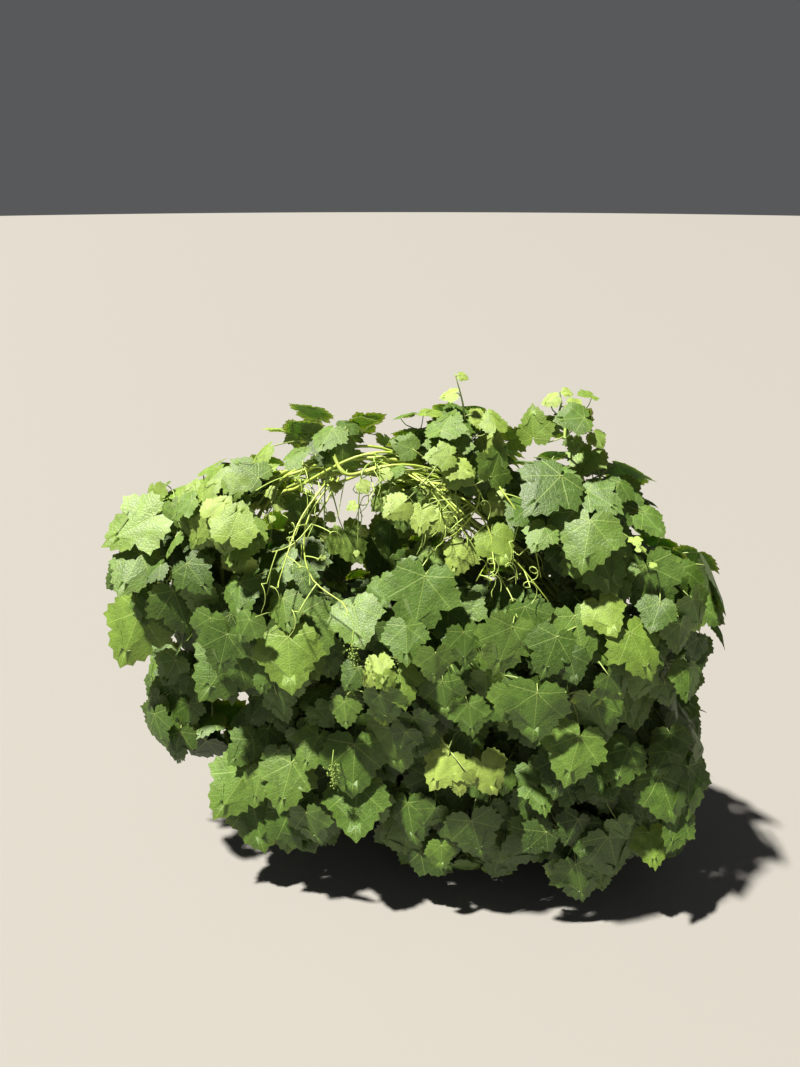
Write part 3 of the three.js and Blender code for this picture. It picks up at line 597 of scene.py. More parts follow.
# Masses of foliage, as in the solids: the middle, half of each side, the limb it grows from and how far up.
# Young is the width of its leaves and full their number, of the others', inner how far round its inner side
# they go, and runner the tip of a shoot that stands out of it.
MASSES = {
    "left_shoulder": Mass((-635, -25, 720), (180, 195, 200), "riser_left_1", 0.6, full=1.2),
    "left_top": Mass((-490, -45, 875), (135, 165, 105), "riser_left_2", 0.84, young=0.8),
    "left_drape": Mass((-635, -50, 385), (125, 175, 160), "riser_left_1", 0.38, full=1.2),
    "upper_left": Mass((-415, -120, 620), (175, 165, 175), "riser_left_2", 0.42),
    "lower_left": Mass((-330, -135, 290), (220, 180, 225), "arm_left", 0.58),
    "centre": Mass((-90, -145, 560), (220, 180, 225), "arm_left", 0.34),
    "centre_foot": Mass((0, -140, 205), (210, 200, 205), "arm_right", 0.24),
    "crown_left": Mass((-295, -25, 1012), (185, 155, 72), "plait_right_1", young=0.8, full=0.42),
    "crown": Mass(
        (-35, -5, 968), (165, 165, 145), "plait_left_1", young=0.8, runner=(-33, -10, 1177), inner=-1
    ),
    "right_top": Mass((205, -15, 865), (205, 190, 145), "riser_right_1", 0.86, bow=(30, 0, 0), inner=-1),
    "right_upper": Mass((195, -140, 610), (190, 175, 180), "riser_right_2", 0.6),
    "right_shoulder": Mass((415, -40, 640), (145, 205, 200), "riser_right_1", 0.6),
    "lower_right": Mass((250, -150, 255), (205, 185, 245), "arm_right", 0.5),
    "right_edge": Mass((445, -60, 290), (135, 215, 240), "arm_right", 0.97),
    "upright": Mass(
        (205, 0, 1060),
        (80, 75, 85),
        "arm_right",
        0.7,
        bow=(70, 45, 0),
        young=0.55,
        full=0.2,
        runner=(181, 4, 1141),
    ),
    "back_upper_left": Mass((-450, 165, 540), (195, 150, 215), "riser_left_3", 0.4),
    "back_lower_left": Mass((-270, 170, 270), (235, 160, 220), "arm_left", 0.69),
    "back_centre": Mass((-110, 155, 560), (220, 150, 210), "arm_left", 0.28),
    "back_upper_right": Mass((230, 160, 610), (215, 155, 200), "riser_right_1", 0.3),
    "back_lower_right": Mass((190, 180, 270), (260, 165, 230), "arm_right", 0.38),
}


def entry_place(mass, start):
    """Where the straight way to the middle of a mass comes into its space."""
    for step in range(1, ENTRY_STEPS):
        place = start.lerp(mass.middle, step / ENTRY_STEPS)
        inside = mass.reach(place) < ENTRY_REACH and mass.depth(place) > ENTRY_DEPTH
        if inside and (place - start).length > BOUGH_LEAST:
            return place
    return mass.middle.copy()


def stem_source(name):
    """The limb that a mass's stem goes on from: a strand of the plait, or else a bough of its own."""
    source = MASSES[name].source
    return source if source.startswith("plait") else f"bough_{name}"


def make_bough(mass):
    start = limbs[mass.source].curve.at(mass.along)
    entry = entry_place(mass, start)
    rise = Vector((0, 0, (entry - start).length * BOUGH_RISE))
    return Limb([start, start.lerp(entry, 0.5) + rise + mass.bow, entry], BOUGH_RADII)


# Meshes


def tube(mesh, places, radii, sides):
    """A closed tube with a ring at each place, from a cylinder that is subdivided along its length."""
    steps, before = len(places) - 1, len(mesh.verts)
    made = bmesh.ops.create_cone(mesh, cap_ends=True, segments=sides, radius1=1, radius2=1, depth=1)
    if steps > 1:
        edges = {edge for vert in made["verts"] for edge in vert.link_edges}
        edges = [edge for edge in edges if abs(edge.verts[0].co.z - edge.verts[1].co.z) > 0.5]
        bmesh.ops.subdivide_edges(mesh, edges=edges, cuts=steps - 1)
    mesh.verts.ensure_lookup_table()
    verts = mesh.verts[before:]
    rings = []
    across = (places[1] - places[0]).orthogonal().normalized()
    for i, place in enumerate(places):
        heading = (places[min(i + 1, steps)] - places[max(i - 1, 0)]).normalized()
        across = (across - heading * across.dot(heading)).normalized()
        rings.append((place, across, heading.cross(across)))
    for vert in verts:
        i = round((vert.co.z + 0.5) * steps)
        place, across, aside = rings[i]
        vert.co = place + (across * vert.co.x + aside * vert.co.y) * radii[i]
    return verts


def made_mesh(name, mesh):
    data = bpy.data.meshes.new(name)
    mesh.to_mesh(data)
    mesh.free()
    return data


def add_object(name, data):
    made = bpy.data.objects.new(name, data)
    bpy.context.scene.collection.objects.link(made)
    return made


def finish_piece(name, mesh, material, nodes=()):
    """A bmesh in millimetres as a finished piece of the vine."""
    bmesh.ops.scale(mesh, vec=Vector((1 / METRE, 1 / METRE, 1 / METRE)), verts=mesh.verts)
    for face in mesh.faces:
        face.smooth = True
    dress(add_object(name, made_mesh(name, mesh)), material, nodes)


def dress(piece, material, nodes=()):
    piece.data.materials.clear()
    piece.data.materials.append(material)
    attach(piece, "root")
    if nodes:
        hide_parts(*nodes)


def bark_noise(turn, along, scales):
    around, onward = scales
    return noise.noise(Vector((math.cos(turn) * around, math.sin(turn) * around, along * onward)))


def bark_relief(along, turn, depth):
    """How far the bark stands out, in ridges that wind a little as they climb."""
    strip = abs(bark_noise(turn, along, BARK_STRIPS))
    return depth * (bark_noise(turn, along, BARK_RIDGES) + BARK_STRIP_DEPTH * (1 - strip * 4))


def woody_tube(mesh, limb, sides, steps, depth, flat_foot=False):
    """A limb of old wood with its bark in relief, level with the ground where it has a flat foot."""
    places, radii = limb.rings(steps)
    radii[-1] *= WOOD_TIP
    for vert in tube(mesh, places, radii, sides):
        ring = min(range(steps + 1), key=lambda i: (places[i] - vert.co).length)
        out = vert.co - places[ring]
        if out.length < 0.1:
            continue
        turn = math.atan2(out.y, out.x) if flat_foot else math.atan2(out.z, out.y)
        along = ring / steps * limb.curve.length / BARK_LENGTH
        vert.co += out.normalized() * bark_relief(along, turn, depth)
        if flat_foot:
            vert.co.z = max(vert.co.z, 0)


def jointed_tube(mesh, limb, sides):
    """A green shoot: it swells a little at each joint and steps aside there by turns."""
    length = limb.curve.length
    steps = max(4, round(length / SHOOT_RING_STEP))
    places, radii = limb.rings(steps)
    for i in range(steps + 1):
        beat = i / steps * length / JOINT_STEP
        aside = Vector((0, 0, 1)).cross(limb.curve.heading(i / steps))
        places[i] += aside * (math.sin(beat * math.pi) * JOINT_SWAY)
        radii[i] *= 1 + JOINT_SWELL * math.exp(-((((beat % 1) - 0.5) * JOINT_SHARPNESS) ** 2))
    tube(mesh, places, radii, sides)


def limb_sheets():
    """The limbs as one coarse tree, for keeping leaves off them."""
    mesh = bmesh.new()
    for limb in limbs.values():
        tube(mesh, *limb.rings(10), 4)
    tree = BVHTree.FromBMesh(mesh)
    mesh.free()
    return tree


def tendril(mesh, start, way, length, between):
    """A thin tendril: it reaches out, sags and ends in a curl."""
    up = Vector((0, 0, 1))
    aside = way.cross(up).normalized()
    turns, coil = between(*TENDRIL_TURNS), between(*TENDRIL_COILS)
    places = []
    for i in range(TENDRIL_STEPS + 1):
        along = i / TENDRIL_STEPS
        curl = max(0, along - TENDRIL_STRAIGHT) * 2
        turn = curl * turns * 2 * math.pi
        sag = up * -length * TENDRIL_SAG * along**2
        coiled = (aside * math.sin(turn) + up * (1 - math.cos(turn))) * coil * (1.15 - curl)
        places.append(start + way * length * min(along, TENDRIL_STRAIGHT + curl * 0.3) + sag + coiled)
    tube(mesh, places, [mix(*TENDRIL_RADII, i / TENDRIL_STEPS) for i in range(TENDRIL_STEPS + 1)], 4)


def flower_cluster(mesh, top, between):
    """A small green flower cluster: round buds in a loose cone round one short stem."""
    bottom = top + Vector((between(-8, 8), between(-14, 0), -CLUSTER_LENGTH))
    tube(mesh, [top + Vector((0, 25, 22)), top, bottom], CLUSTER_RADII, 4)
    for i in range(CLUSTER_BEADS):
        along = i / CLUSTER_BEADS
        out = sphere_point(i, CLUSTER_BEADS)
        out.z = 0
        out = out.normalized() * between(*CLUSTER_SPREAD) * (1 - CLUSTER_TAPER * along)
        seat = Matrix.Translation(top.lerp(bottom, along) + out + stray(between, CLUSTER_LOOSENESS))
        bmesh.ops.create_icosphere(mesh, subdivisions=1, radius=between(*BUD_RADII), matrix=seat)


# Leaves


def leaf_rim(corner, between, skew, roundness):
    """A corner of a leaf's toothed rim, counted round from the notch."""
    last = len(LOBED_OUTLINE) - 1
    mirrored = corner > last
    own = 2 * last - corner if mirrored else corner
    across, along = [mix(low, high, roundness) for low, high in zip(LOBED_OUTLINE[own], ROUND_OUTLINE[own])]
    across *= 1 - skew if mirrored else 1 + skew
    across += between(-RIM_LOOSENESS, RIM_LOOSENESS)
    along += between(-RIM_LOOSENESS, RIM_LOOSENESS)
    return Vector((-across if mirrored else across, along, 0))


def leaf_height(x, y, form):
    """How far a leaf's surface stands above its joint: it droops to the rim, folds, waves and curls."""
    off = math.hypot(x, y - LEAF_CENTRE)
    turn = math.atan2(x, y - LEAF_CENTRE)
    height = -form["droop"] * off**2 - form["fold"] * abs(x)
    height += form["wave"] * off * math.sin(form["lobes"] * turn + form["phase"])
    return height - form["curl"] * max(0, y - 0.4) ** 2


def leaf_mesh(number):
    """A leaf of unit width: a ball of few faces, pressed flat, its equator drawn out to the toothed rim."""
    between = random_from(LEAF_SHAPE_SEED + number)
    form = {key: between(*span) for key, span in LEAF_FORM.items()}
    form["lobes"] = 2 + number % 4
    skew, roundness = between(-LEAF_SKEW, LEAF_SKEW), number % 3 / 3
    corners = 2 * (len(LOBED_OUTLINE) - 1)
    rim = [leaf_rim(corner, between, skew, roundness) for corner in range(corners)]
    centre = Vector((0, LEAF_CENTRE, 0))
    mesh = bmesh.new()
    uv = mesh.loops.layers.uv.new("OFBake")
    bmesh.ops.create_uvsphere(mesh, u_segments=corners, v_segments=4, radius=1)
    for vert in mesh.verts:
        level = round(vert.co.z / 0.7)
        corner = round(math.atan2(vert.co.x, -vert.co.y) / (2 * math.pi) * corners) % corners
        flat = centre.lerp(rim[corner], (1.0, 0.56, 0.0)[abs(level)])
        thick = (0, 0.7, 1)[abs(level)] * math.copysign(LEAF_EDGE / 2, level)
        vert.co = Vector((flat.x, flat.y, leaf_height(flat.x, flat.y, form) + thick))
    bmesh.ops.triangulate(mesh, faces=mesh.faces, quad_method="SHORT_EDGE")
    mesh.normal_update()
    for edge in mesh.edges:
        upper, lower = edge.link_faces
        if upper.normal.z * lower.normal.z < 0:
            edge.smooth = False
    for face in mesh.faces:
        face.smooth = True
        under = 0.5 if face.normal.z < 0 else 0.0
        for loop in face.loops:
            u = (loop.vert.co.x / UV_WINDOW + 0.5) / 2 + under
            v = (loop.vert.co.y - UV_LOW) / UV_WINDOW / 2 + 0.5 * (number % 2)
            loop[uv].uv = (u, v)
    return made_mesh(f"leaf_shape_{number}", mesh)


class Leaf:
    """A leaf's seat, by its middle, the way its upper face looks and the way its tip hangs."""

    def __init__(self, width, middle, face, hang):
        across = hang.cross(face).normalized()
        tip = face.cross(across).normalized()
        face = across.cross(tip)
        self.width, self.middle, self.face, self.tip = width, middle, face, tip
        self.joint = middle - tip * LEAF_CENTRE * width
        turn = Matrix((across, tip, face)).transposed().to_4x4()
        self.matrix = Matrix.Translation(self.joint) @ turn @ Matrix.Scale(width, 4)

    def corners(self):
        return [self.matrix @ Vector((x, y, 0)) for x, y in LEAF_COARSE_OUTLINE]

    def sheet(self):
        """The leaf with few corners, for measuring what it meets."""
        count = len(LEAF_COARSE_OUTLINE)
        fan = [(0, i + 1, (i + 1) % count + 1) for i in range(count)]
        return BVHTree.FromPolygons([self.middle, *self.corners()], fan)


def try_leaf(mass, out, layer, attempt, between):
    """One attempt at a leaf in a mass: a place in one of its layers, facing out and up, tip down."""
    size = mix(*(YOUNG_LEAF_SIZES if mass.young else LEAF_SIZES), between(0, 1) ** LEAF_SMALLNESS)
    width = mass.leaf_width * size * (1 - TRY_SHRINK * attempt)
    way = (out + stray(between, LOOSENESS * (TRY_LOOSENESS[0] + TRY_LOOSENESS[1] * attempt))).normalized()
    middle = mass.place(way, between(*layer) - TRY_RETREAT * attempt)
    face = way + mass.outward
    turned = not ROW_ENDS[0] < middle.x < ROW_ENDS[1] and between(0, 1) < END_SHARE
    face.x *= END_TURN if turned else ROW_TURN
    face.y += 0 if turned else math.copysign(SIDE_TURN, middle.y)
    lift = between(*(YOUNG_LIFT if mass.young else LEAF_LIFT))
    face = (face + Vector((0, 0, lift)) + stray(between, LEAF_LOOSENESS)).normalized()
    spread = YOUNG_HANG if mass.young else LEAF_HANG
    fall = YOUNG_RISE[way.z > YOUNG_TOP] if mass.young else -1
    hang = Vector((way.x * spread, way.y * spread, fall)) + stray(between, 2 * LOOSENESS)
    return Leaf(width, middle, face, hang)


def in_bounds(place):
    """Whether a leaf's corner is above ground and no further out than the plant's solids."""
    low, high = [Vector(corner) * METRE for corner in cad_box]
    return place.z > GROUND_MARGIN and all(low[i] < place[i] < high[i] for i in range(3))


def leaf_fits(mass, leaf):
    """Whether a leaf is in its own mass, above ground, and clear of the leaves and limbs seated so far."""
    border = mass.power(leaf.middle) - BORDER_EASE
    if any(other.power(leaf.middle) < border for other in MASSES.values()):
        return False
    if not all(in_bounds(corner) for corner in leaf.corners()):
        return False
    apart = [((other.middle - leaf.middle).length, other) for other in leaves]
    near = [(gap, other) for gap, other in apart if gap < LEAF_NEAR * (leaf.width + other.width)]
    if any(gap < LEAF_SPACING * leaf.width for gap, other in near):
        return False
    leaf.tree = leaf.sheet()
    if leaf.tree.overlap(limb_tree) or covers_plait(leaf):
        return False
    return not any(leaf.tree.overlap(other.tree) for gap, other in near)


def covers_plait(leaf):
    """Whether a leaf would hang over a stretch of the plait that shows."""
    sights = [(place, PLAIT_FRONT) for place in bare_places] + [(place, PLAIT_ABOVE) for place in open_places]
    return any(leaf.tree.ray_cast(place, way, PLAIT_BARE_DEPTH)[0] is not None for place, way in sights)


def tone_of(mass, leaf, between):
    """How young a leaf's green is, by its place, its mass and the sprays near it, and darker with painted
    shade deep in its mass.
    """
    tone = TONE_LEAST + between(0, TONE_SPREAD) + TONE_RISE * leaf.middle.z / METRE
    tone += between(*YOUNG_TONES) if mass.young else 0
    tone += TONE_PATCHES * noise.noise(leaf.middle * TONE_PATCH_SCALE)
    tone += sum(more for spray, reach, more in FRESH_SPRAYS if (Vector(spray) - leaf.middle).length < reach)
    # painted shade: a leaf deep in its mass gets a darker green
    tone -= DEEP_SHADE * max(0, SHADE_REACH - mass.reach(leaf.middle))
    return min(max(tone, 0), 0.999)


def grow_skeleton(name, between):
    """A stem from the bough's tip to the middle of its mass, and main twigs from there: places for stalks."""
    mass, bough = MASSES[name], limbs[stem_source(name)]
    start = bough.curve.at(1)
    onward = start + bough.curve.heading(1) * STEM_BEND
    stem = Limb([start, onward, mass.middle], (bough.radius(1), STEM_TIP_RADIUS))
    own = [stem]
    for i in range(TWIG_COUNT):
        root = stem.curve.at(1 - TWIG_ROOT_STEP * (i + TWIG_FIRST_ROOT))
        out = sphere_point(i, TWIG_COUNT) + mass.outward * 2 * LOOSENESS
        out = (out + stray(between, LOOSENESS)).normalized()
        end = mass.place(out, TWIG_REACH)
        own.append(Limb([root, root.lerp(end, 0.5) + out.orthogonal() * TWIG_KNEE, end], TWIG_RADII))
    return own


def nodes_of(twig):
    """Places along a twig where a stalk can sit."""
    count = max(1, int(twig.curve.length / NODE_STEP))
    return [twig.curve.at((i + 1) / (count + BARE_TIP)) for i in range(count)]


def grow_stalk(leaf, nodes, own_twigs, between):
    """A leaf's stalk from the nearest node, and a fine twig first where that is too far away."""
    node = min(nodes, key=lambda place: (place - leaf.joint).length)
    way = leaf.joint - node
    if way.length > STALK_REACH:
        end = node + way * (1 - STALK_LEAST / way.length)
        knee = node.lerp(end, 0.5) + stray(between, FINE_TWIG_LOOSENESS) + Vector((0, 0, FINE_TWIG_RISE))
        twig = Limb([node, knee, end], FINE_TWIG_RADII)
        own_twigs.append(twig)
        nodes.extend(nodes_of(twig))
        node = end
    bow = leaf.tip * -STALK_BOW[0] * leaf.width - leaf.face * STALK_BOW[1] * leaf.width
    seat = leaf.joint + leaf.tip * STALK_SEAT[0] * leaf.width - leaf.face * STALK_RADII[1] * STALK_SEAT[1]
    return [node, node.lerp(leaf.joint, STALK_BEND) + bow, seat]


def seat_tip_leaf(node, leaf, tone=TIP_TONE, rise=0):
    """Seats a small leaf near a shoot's tip, and returns its stalk."""
    leaf.tree, leaf.tone = leaf.sheet(), tone
    leaves.append(leaf)
    return [node, node.lerp(leaf.joint, 0.5) + Vector((0, 0, rise)), leaf.joint]


class Growth:
    """The twigs, leaves and stalks of one mass as they grow."""

    def __init__(self, name, seed):
        self.mass, self.between = MASSES[name], random_from(seed)
        self.twigs = grow_skeleton(name, self.between)
        self.nodes = [place for twig in self.twigs for place in nodes_of(twig)]
        self.stalks = []
        if self.mass.runner:
            self.grow_runner(Vector(self.mass.runner))

    def grow_runner(self, tip):
        """A shoot tip that stands out of its mass, with small leaves set on it by turns."""
        root = min(self.nodes, key=lambda place: (place - tip).length)
        count = max(3, int((tip - root).length / RUNNER_STEP))
        shoot = Limb([root, root.lerp(tip, 0.5) + RUNNER_BOW, tip], (TWIG_RADII[0], RUNNER_TIP_RADIUS))
        self.twigs.append(shoot)
        for i in range(1, count + 1):
            node = shoot.curve.at(i / (count + 0.2))
            side = Vector((1 if i % 2 else -1, self.between(-0.6, 0.2), self.between(-0.1, 0.4))).normalized()
            width = LEAF_WIDTH * mix(*RUNNER_LEAVES, i / count)
            face = (side * 0.4 + Vector((0, -0.5, 0.8))).normalized()
            leaf = Leaf(width, node + side * width * 0.6, face, side)
            self.stalks.append(seat_tip_leaf(node, leaf, rise=2))

    def seat(self, leaf, tone):
        leaf.tone = tone
        leaves.append(leaf)
        self.stalks.append(grow_stalk(leaf, self.nodes, self.twigs, self.between))

    def fill(self):
        """Leaves dealt evenly over the mass's space, each on its own stalk."""
        crowding = self.mass.full * (self.mass.size / self.mass.leaf_width) ** 2
        for cover, layer in LEAF_LAYERS:
            places = round(cover * crowding)
            for i in range(places):
                out = sphere_point(i, places)
                if out.dot(self.mass.outward) >= self.mass.inner:
                    self.try_place(out, layer)

    def try_place(self, out, layer):
        for attempt in range(TRIES):
            leaf = try_leaf(self.mass, out, layer, attempt, self.between)
            if leaf_fits(self.mass, leaf):
                self.seat(leaf, tone_of(self.mass, leaf, self.between))
                return


def seat_shown_leaves():
    for place, width, face, hang, tone in SHOWN_LEAVES:
        leaf = Leaf(width, Vector(place), Vector(face).normalized(), Vector(hang))
        leaf.tree = leaf.sheet()
        name = min(MASSES, key=lambda key: MASSES[key].power(leaf.middle))
        growths[name].seat(leaf, tone)


def hanging_tip(start, way, length, between):
    """A soft shoot tip that arches over and hangs, with a few small leaves."""
    reach = start + way * length * 0.45
    end = reach + Vector((way.x * 30, way.y * 30, -0.75 * length))
    shoot = Limb([start, start.lerp(reach, 0.6) + Vector((0, 0, 12)), reach, end], TIP_RADII)
    for i in range(4):
        node = shoot.curve.at(0.45 + 0.18 * i)
        side = Vector((between(-1, 1), between(-1, 0.2), between(-0.6, 0.2))).normalized()
        width = LEAF_WIDTH * mix(*TIP_LEAVES, i / 3)
        face = (side * 0.3 + Vector((0, -0.6, 0.7))).normalized()
        stalks.append(seat_tip_leaf(node, Leaf(width, node + side * width * 0.7, face, side)))
    return shoot


def stray_shoot(points, between):
    """A thin shoot that strays out of the crown, with small leaves by turns."""
    shoot = Limb([Vector(point) for point in points], STRAY_RADII)
    for i in range(STRAY_LEAF_COUNT):
        node = shoot.curve.at(0.3 + 0.14 * i)
        side = Vector((between(-0.4, 0.6), (-1) ** i, between(-0.3, 0.4))).normalized()
        width = LEAF_WIDTH * mix(*STRAY_LEAVES, i / (STRAY_LEAF_COUNT - 1))
        leaf = Leaf(width, node + side * STRAY_LEAF_GAP, Vector((0, -0.3, 0.9)), side)
        stalks.append(seat_tip_leaf(node, leaf, STRAY_TONE))
    return shoot


def plait_stretch(start, end):
    """Places in the plait's bundle along one of its stretches: above, at and below its middle by turns."""
    before, layer = PLAIT_LAYERS
    places = []
    for i in range(PLAIT_PLACES):
        place = arch.at(mix(start, end, i / (PLAIT_PLACES - 1)))
        places.append(place + Vector((0, before, layer * (i % 3 - 1))))
    return places


# Materials


class Value:
    """A number on a material's socket, for writing shader maths as plain expressions."""

    def __init__(self, paint, socket):
        self.paint, self.socket = paint, socket

    def math(self, operation, *others):
        return self.paint.number("ShaderNodeMath", {"operation": operation}, self, *others)

    def __add__(self, other):
        return self.math("ADD", other)

    __radd__ = __add__

    def __sub__(self, other):
        return self.math("SUBTRACT", other)

    def __rsub__(self, other):
        return self * -1 + other

    def __mul__(self, other):
        return self.math("MULTIPLY", other)

    __rmul__ = __mul__

    def __truediv__(self, other):
        return self.math("DIVIDE", other)

    def clamped(self):
        return self.math("MAXIMUM", 0).math("MINIMUM", 1)


class Paint:
    """A material with one Principled shader, and ways to lay patterns on it."""

    def __init__(self, name, colour, roughness, constants=None):
        self.material = bpy.data.materials.new(name)
        self.material.use_nodes = True
        self.tree = self.material.node_tree
        self.shader = self.tree.nodes["Principled BSDF"]
        self.shader.inputs["Base Color"].default_value = (*colour, 1)
        self.shader.inputs["Roughness"].default_value = roughness
        for socket, value in (constants or {}).items():
            self.shader.inputs[socket].default_value = value

    def give(self, socket, value):
        """Sets a socket, or links it where the value comes from another node."""
        source = value.socket if isinstance(value, Value) else value
        if isinstance(source, bpy.types.NodeSocket):
            self.tree.links.new(source, socket)
        else:
            socket.default_value = source

    def put(self, kind, settings, sockets):
        """A node of a kind, its settings set first, then the values or links of its sockets."""
        node = self.tree.nodes.new(kind)
        for key, value in settings.items():
            setattr(node, key, value)
        for key, value in sockets.items():
            self.give(node.inputs[key], value)
        return node

    def number(self, kind, settings, *values):
        return Value(self, self.put(kind, settings, dict(enumerate(values))).outputs[0])

    def blend(self, share, low, high):
        """A colour between two others."""
        low, high = [(*end, 1) if isinstance(end, tuple) else end for end in (low, high)]
        return self.put("ShaderNodeMix", {"data_type": "RGBA"}, {0: share, 6: low, 7: high}).outputs[2]

    def noise(self, where, scale, detail):
        node = self.put("ShaderNodeTexNoise", {}, {"Vector": where, "Scale": scale, "Detail": detail})
        return Value(self, node.outputs["Fac"])

    def where(self):
        return self.put("ShaderNodeTexCoord", {}, {}).outputs["Object"]

    def lay(self, socket, value):
        self.give(self.shader.inputs[socket], value)

    def bump(self, height, strength, distance):
        node = self.put("ShaderNodeBump", {}, {"Strength": strength, "Distance": distance, "Height": height})
        self.lay("Normal", node.outputs["Normal"])


def toned(colour, other, share):
    return tuple(mix(own, far, share) for own, far in zip(colour, other))


def leaf_veins(x, y):
    """Where a leaf's veins run, from 0 to 1: five main ones from its stalk, and side veins off them."""
    turn = x.math("ABSOLUTE").math("ARCTAN2", y)
    number = (turn / VEIN_TURN).math("ROUND").math("MINIMUM", 2)
    slant = turn - number * VEIN_TURN
    length = (x * x + y * y).math("SQRT")
    along = length * slant.math("COSINE")
    aside = (length * slant.math("SINE")).math("ABSOLUTE")
    main = ((VEIN_WIDTH - VEIN_TAPER * along - aside) / VEIN_EDGE).clamped()
    wave = ((along - aside * SIDE_VEIN_SLANT) / SIDE_VEIN_STEP).math("FRACT")
    side = ((SIDE_VEIN_WIDTH - (wave - 0.5).math("ABSOLUTE")) / SIDE_VEIN_EDGE).clamped() * 0.5
    return main.math("MAXIMUM", side)


def leaf_material(name, tint):
    """A leaf's green with pale veins, a blistered surface and a paler underside, drawn in its own UV map."""
    paint = Paint(name, tint, 0.45, LEAF_SHEEN)
    uv = paint.put("ShaderNodeUVMap", {"uv_map": "OFBake"}, {}).outputs[0]
    parts = paint.put("ShaderNodeSeparateXYZ", {}, {0: uv}).outputs
    u, v = Value(paint, parts[0]) * 2, Value(paint, parts[1]) * 2
    under, sort = u.math("FLOOR"), v.math("FLOOR")
    x = (u.math("FRACT") - 0.5) * UV_WINDOW
    y = v.math("FRACT") * UV_WINDOW + UV_LOW
    veins = leaf_veins(x, y)
    place = paint.put("ShaderNodeCombineXYZ", {}, {0: x, 1: y, 2: sort * 3 + under}).outputs[0]
    net = paint.put(
        "ShaderNodeTexVoronoi", {"feature": "DISTANCE_TO_EDGE"}, {"Vector": place, "Scale": BLISTER_SCALE}
    )
    cells = Value(paint, net.outputs["Distance"])
    fine = ((FINE_VEIN_WIDTH - cells) / FINE_VEIN_WIDTH).clamped()
    blotch = paint.noise(place, BLOTCH_SCALE, 3)
    pale = toned(tint, VEIN_GREEN, 0.45)
    dim, bright = [tuple(part * share for part in tint) for share in BLOTCH_SHADES]
    green = paint.blend(((blotch - 0.3) * 2.2 + sort * 0.15).clamped(), dim, bright)
    green = paint.blend(fine * 0.16, green, pale)
    green = paint.blend(veins * 0.62, green, pale)
    back = toned(tint, UNDERSIDE_GREEN, 0.42)
    back = paint.blend(veins * 0.6, back, toned(back, UNDERSIDE_VEIN_GREEN, 0.5))
    paint.lay("Base Color", paint.blend(under, green, back))
    paint.lay("Roughness", 0.46 + blotch * 0.14 + under * 0.26)
    crests = (cells * 3).math("MINIMUM", 0.6) - veins * 0.75
    paint.bump(crests * (1 - under * 1.6), 0.3, 0.002)
    return paint.material


def bark_material():
    """Old bark: shaggy strips along the wood, grey on the crests and dark between them."""
    paint = Paint("shaggy_bark", BARK_BROWN, 0.9)
    where = paint.where()
    drawn = paint.put("ShaderNodeMapping", {}, {"Vector": where, "Scale": (1, 1, 0.14)}).outputs[0]
    strips = paint.noise(drawn, 150, 4)
    patches = paint.noise(where, 18, 2)
    colour = paint.blend(((strips - 0.38) * 3.4).clamped(), BARK_CLEFT, BARK_CREST)
    colour = paint.blend(((patches - 0.5) * 2).clamped() * 0.5, colour, BARK_GREY)
    paint.lay("Base Color", colour)
    paint.bump(strips, 0.9, 0.004)
    return paint.material


def shoot_material():
    """Green shoots, a little yellower and duller in places."""
    paint = Paint("green_shoot", SHOOT_GREEN, 0.42)
    patches = paint.noise(paint.where(), 26, 2)
    paint.lay("Base Color", paint.blend(((patches - 0.35) * 2.5).clamped(), *SHOOT_GREENS))
    return paint.material


def join_leaves(name, chosen, shapes, nodes):
    """One piece from all the seated leaves of one tint."""
    base = add_object(name, bpy.data.meshes.new(name))
    whole = [base]
    for number, leaf in chosen:
        copy = bpy.data.objects.new("leaf", shapes[number % len(shapes)])
        copy.matrix_world = Matrix.Scale(1 / METRE, 4) @ leaf.matrix
        bpy.context.scene.collection.objects.link(copy)
        whole.append(copy)
    with bpy.context.temp_override(
        active_object=base, object=base, selected_objects=whole, selected_editable_objects=whole
    ):
        bpy.ops.object.join()
    dress(base, leaf_material(f"{name}_green", LEAF_TINTS[name]), nodes)


# The vine

limbs = {"trunk": make_trunk()}
for side, end in ARM_ENDS.items():
    limbs[f"arm_{side}"] = make_arm(end)
for index, key in enumerate(STRANDS):
    side, number = key.split("_")
    limbs[f"riser_{key}"] = make_riser(side, int(number), index + 1)
    limbs[f"plait_{key}"] = make_strand(side, int(number), index + 1)
for name, mass in MASSES.items():
    if stem_source(name).startswith("bough"):
        limbs[stem_source(name)] = make_bough(mass)

limb_tree = limb_sheets()
bright_places = [Vector(place) + SHOWN_STEP for place, *_, tone in SHOWN_LEAVES if tone > SHOWN_BRIGHT]
front_clusters = [Vector(place) for place in CLUSTERS[:2]]
bare_places = [place for stretch in PLAIT_BARE for place in plait_stretch(*stretch)]
bare_places += front_clusters + bright_places
open_places = plait_stretch(*PLAIT_OPEN) + bright_places
leaves = []
growths = {name: Growth(name, FIRST_SEED + index) for index, name in enumerate(MASSES)}
seat_shown_leaves()
for growth in growths.values():
    growth.fill()
twigs = [twig for growth in growths.values() for twig in growth.twigs]
stalks = [stalk for growth in growths.values() for stalk in growth.stalks]

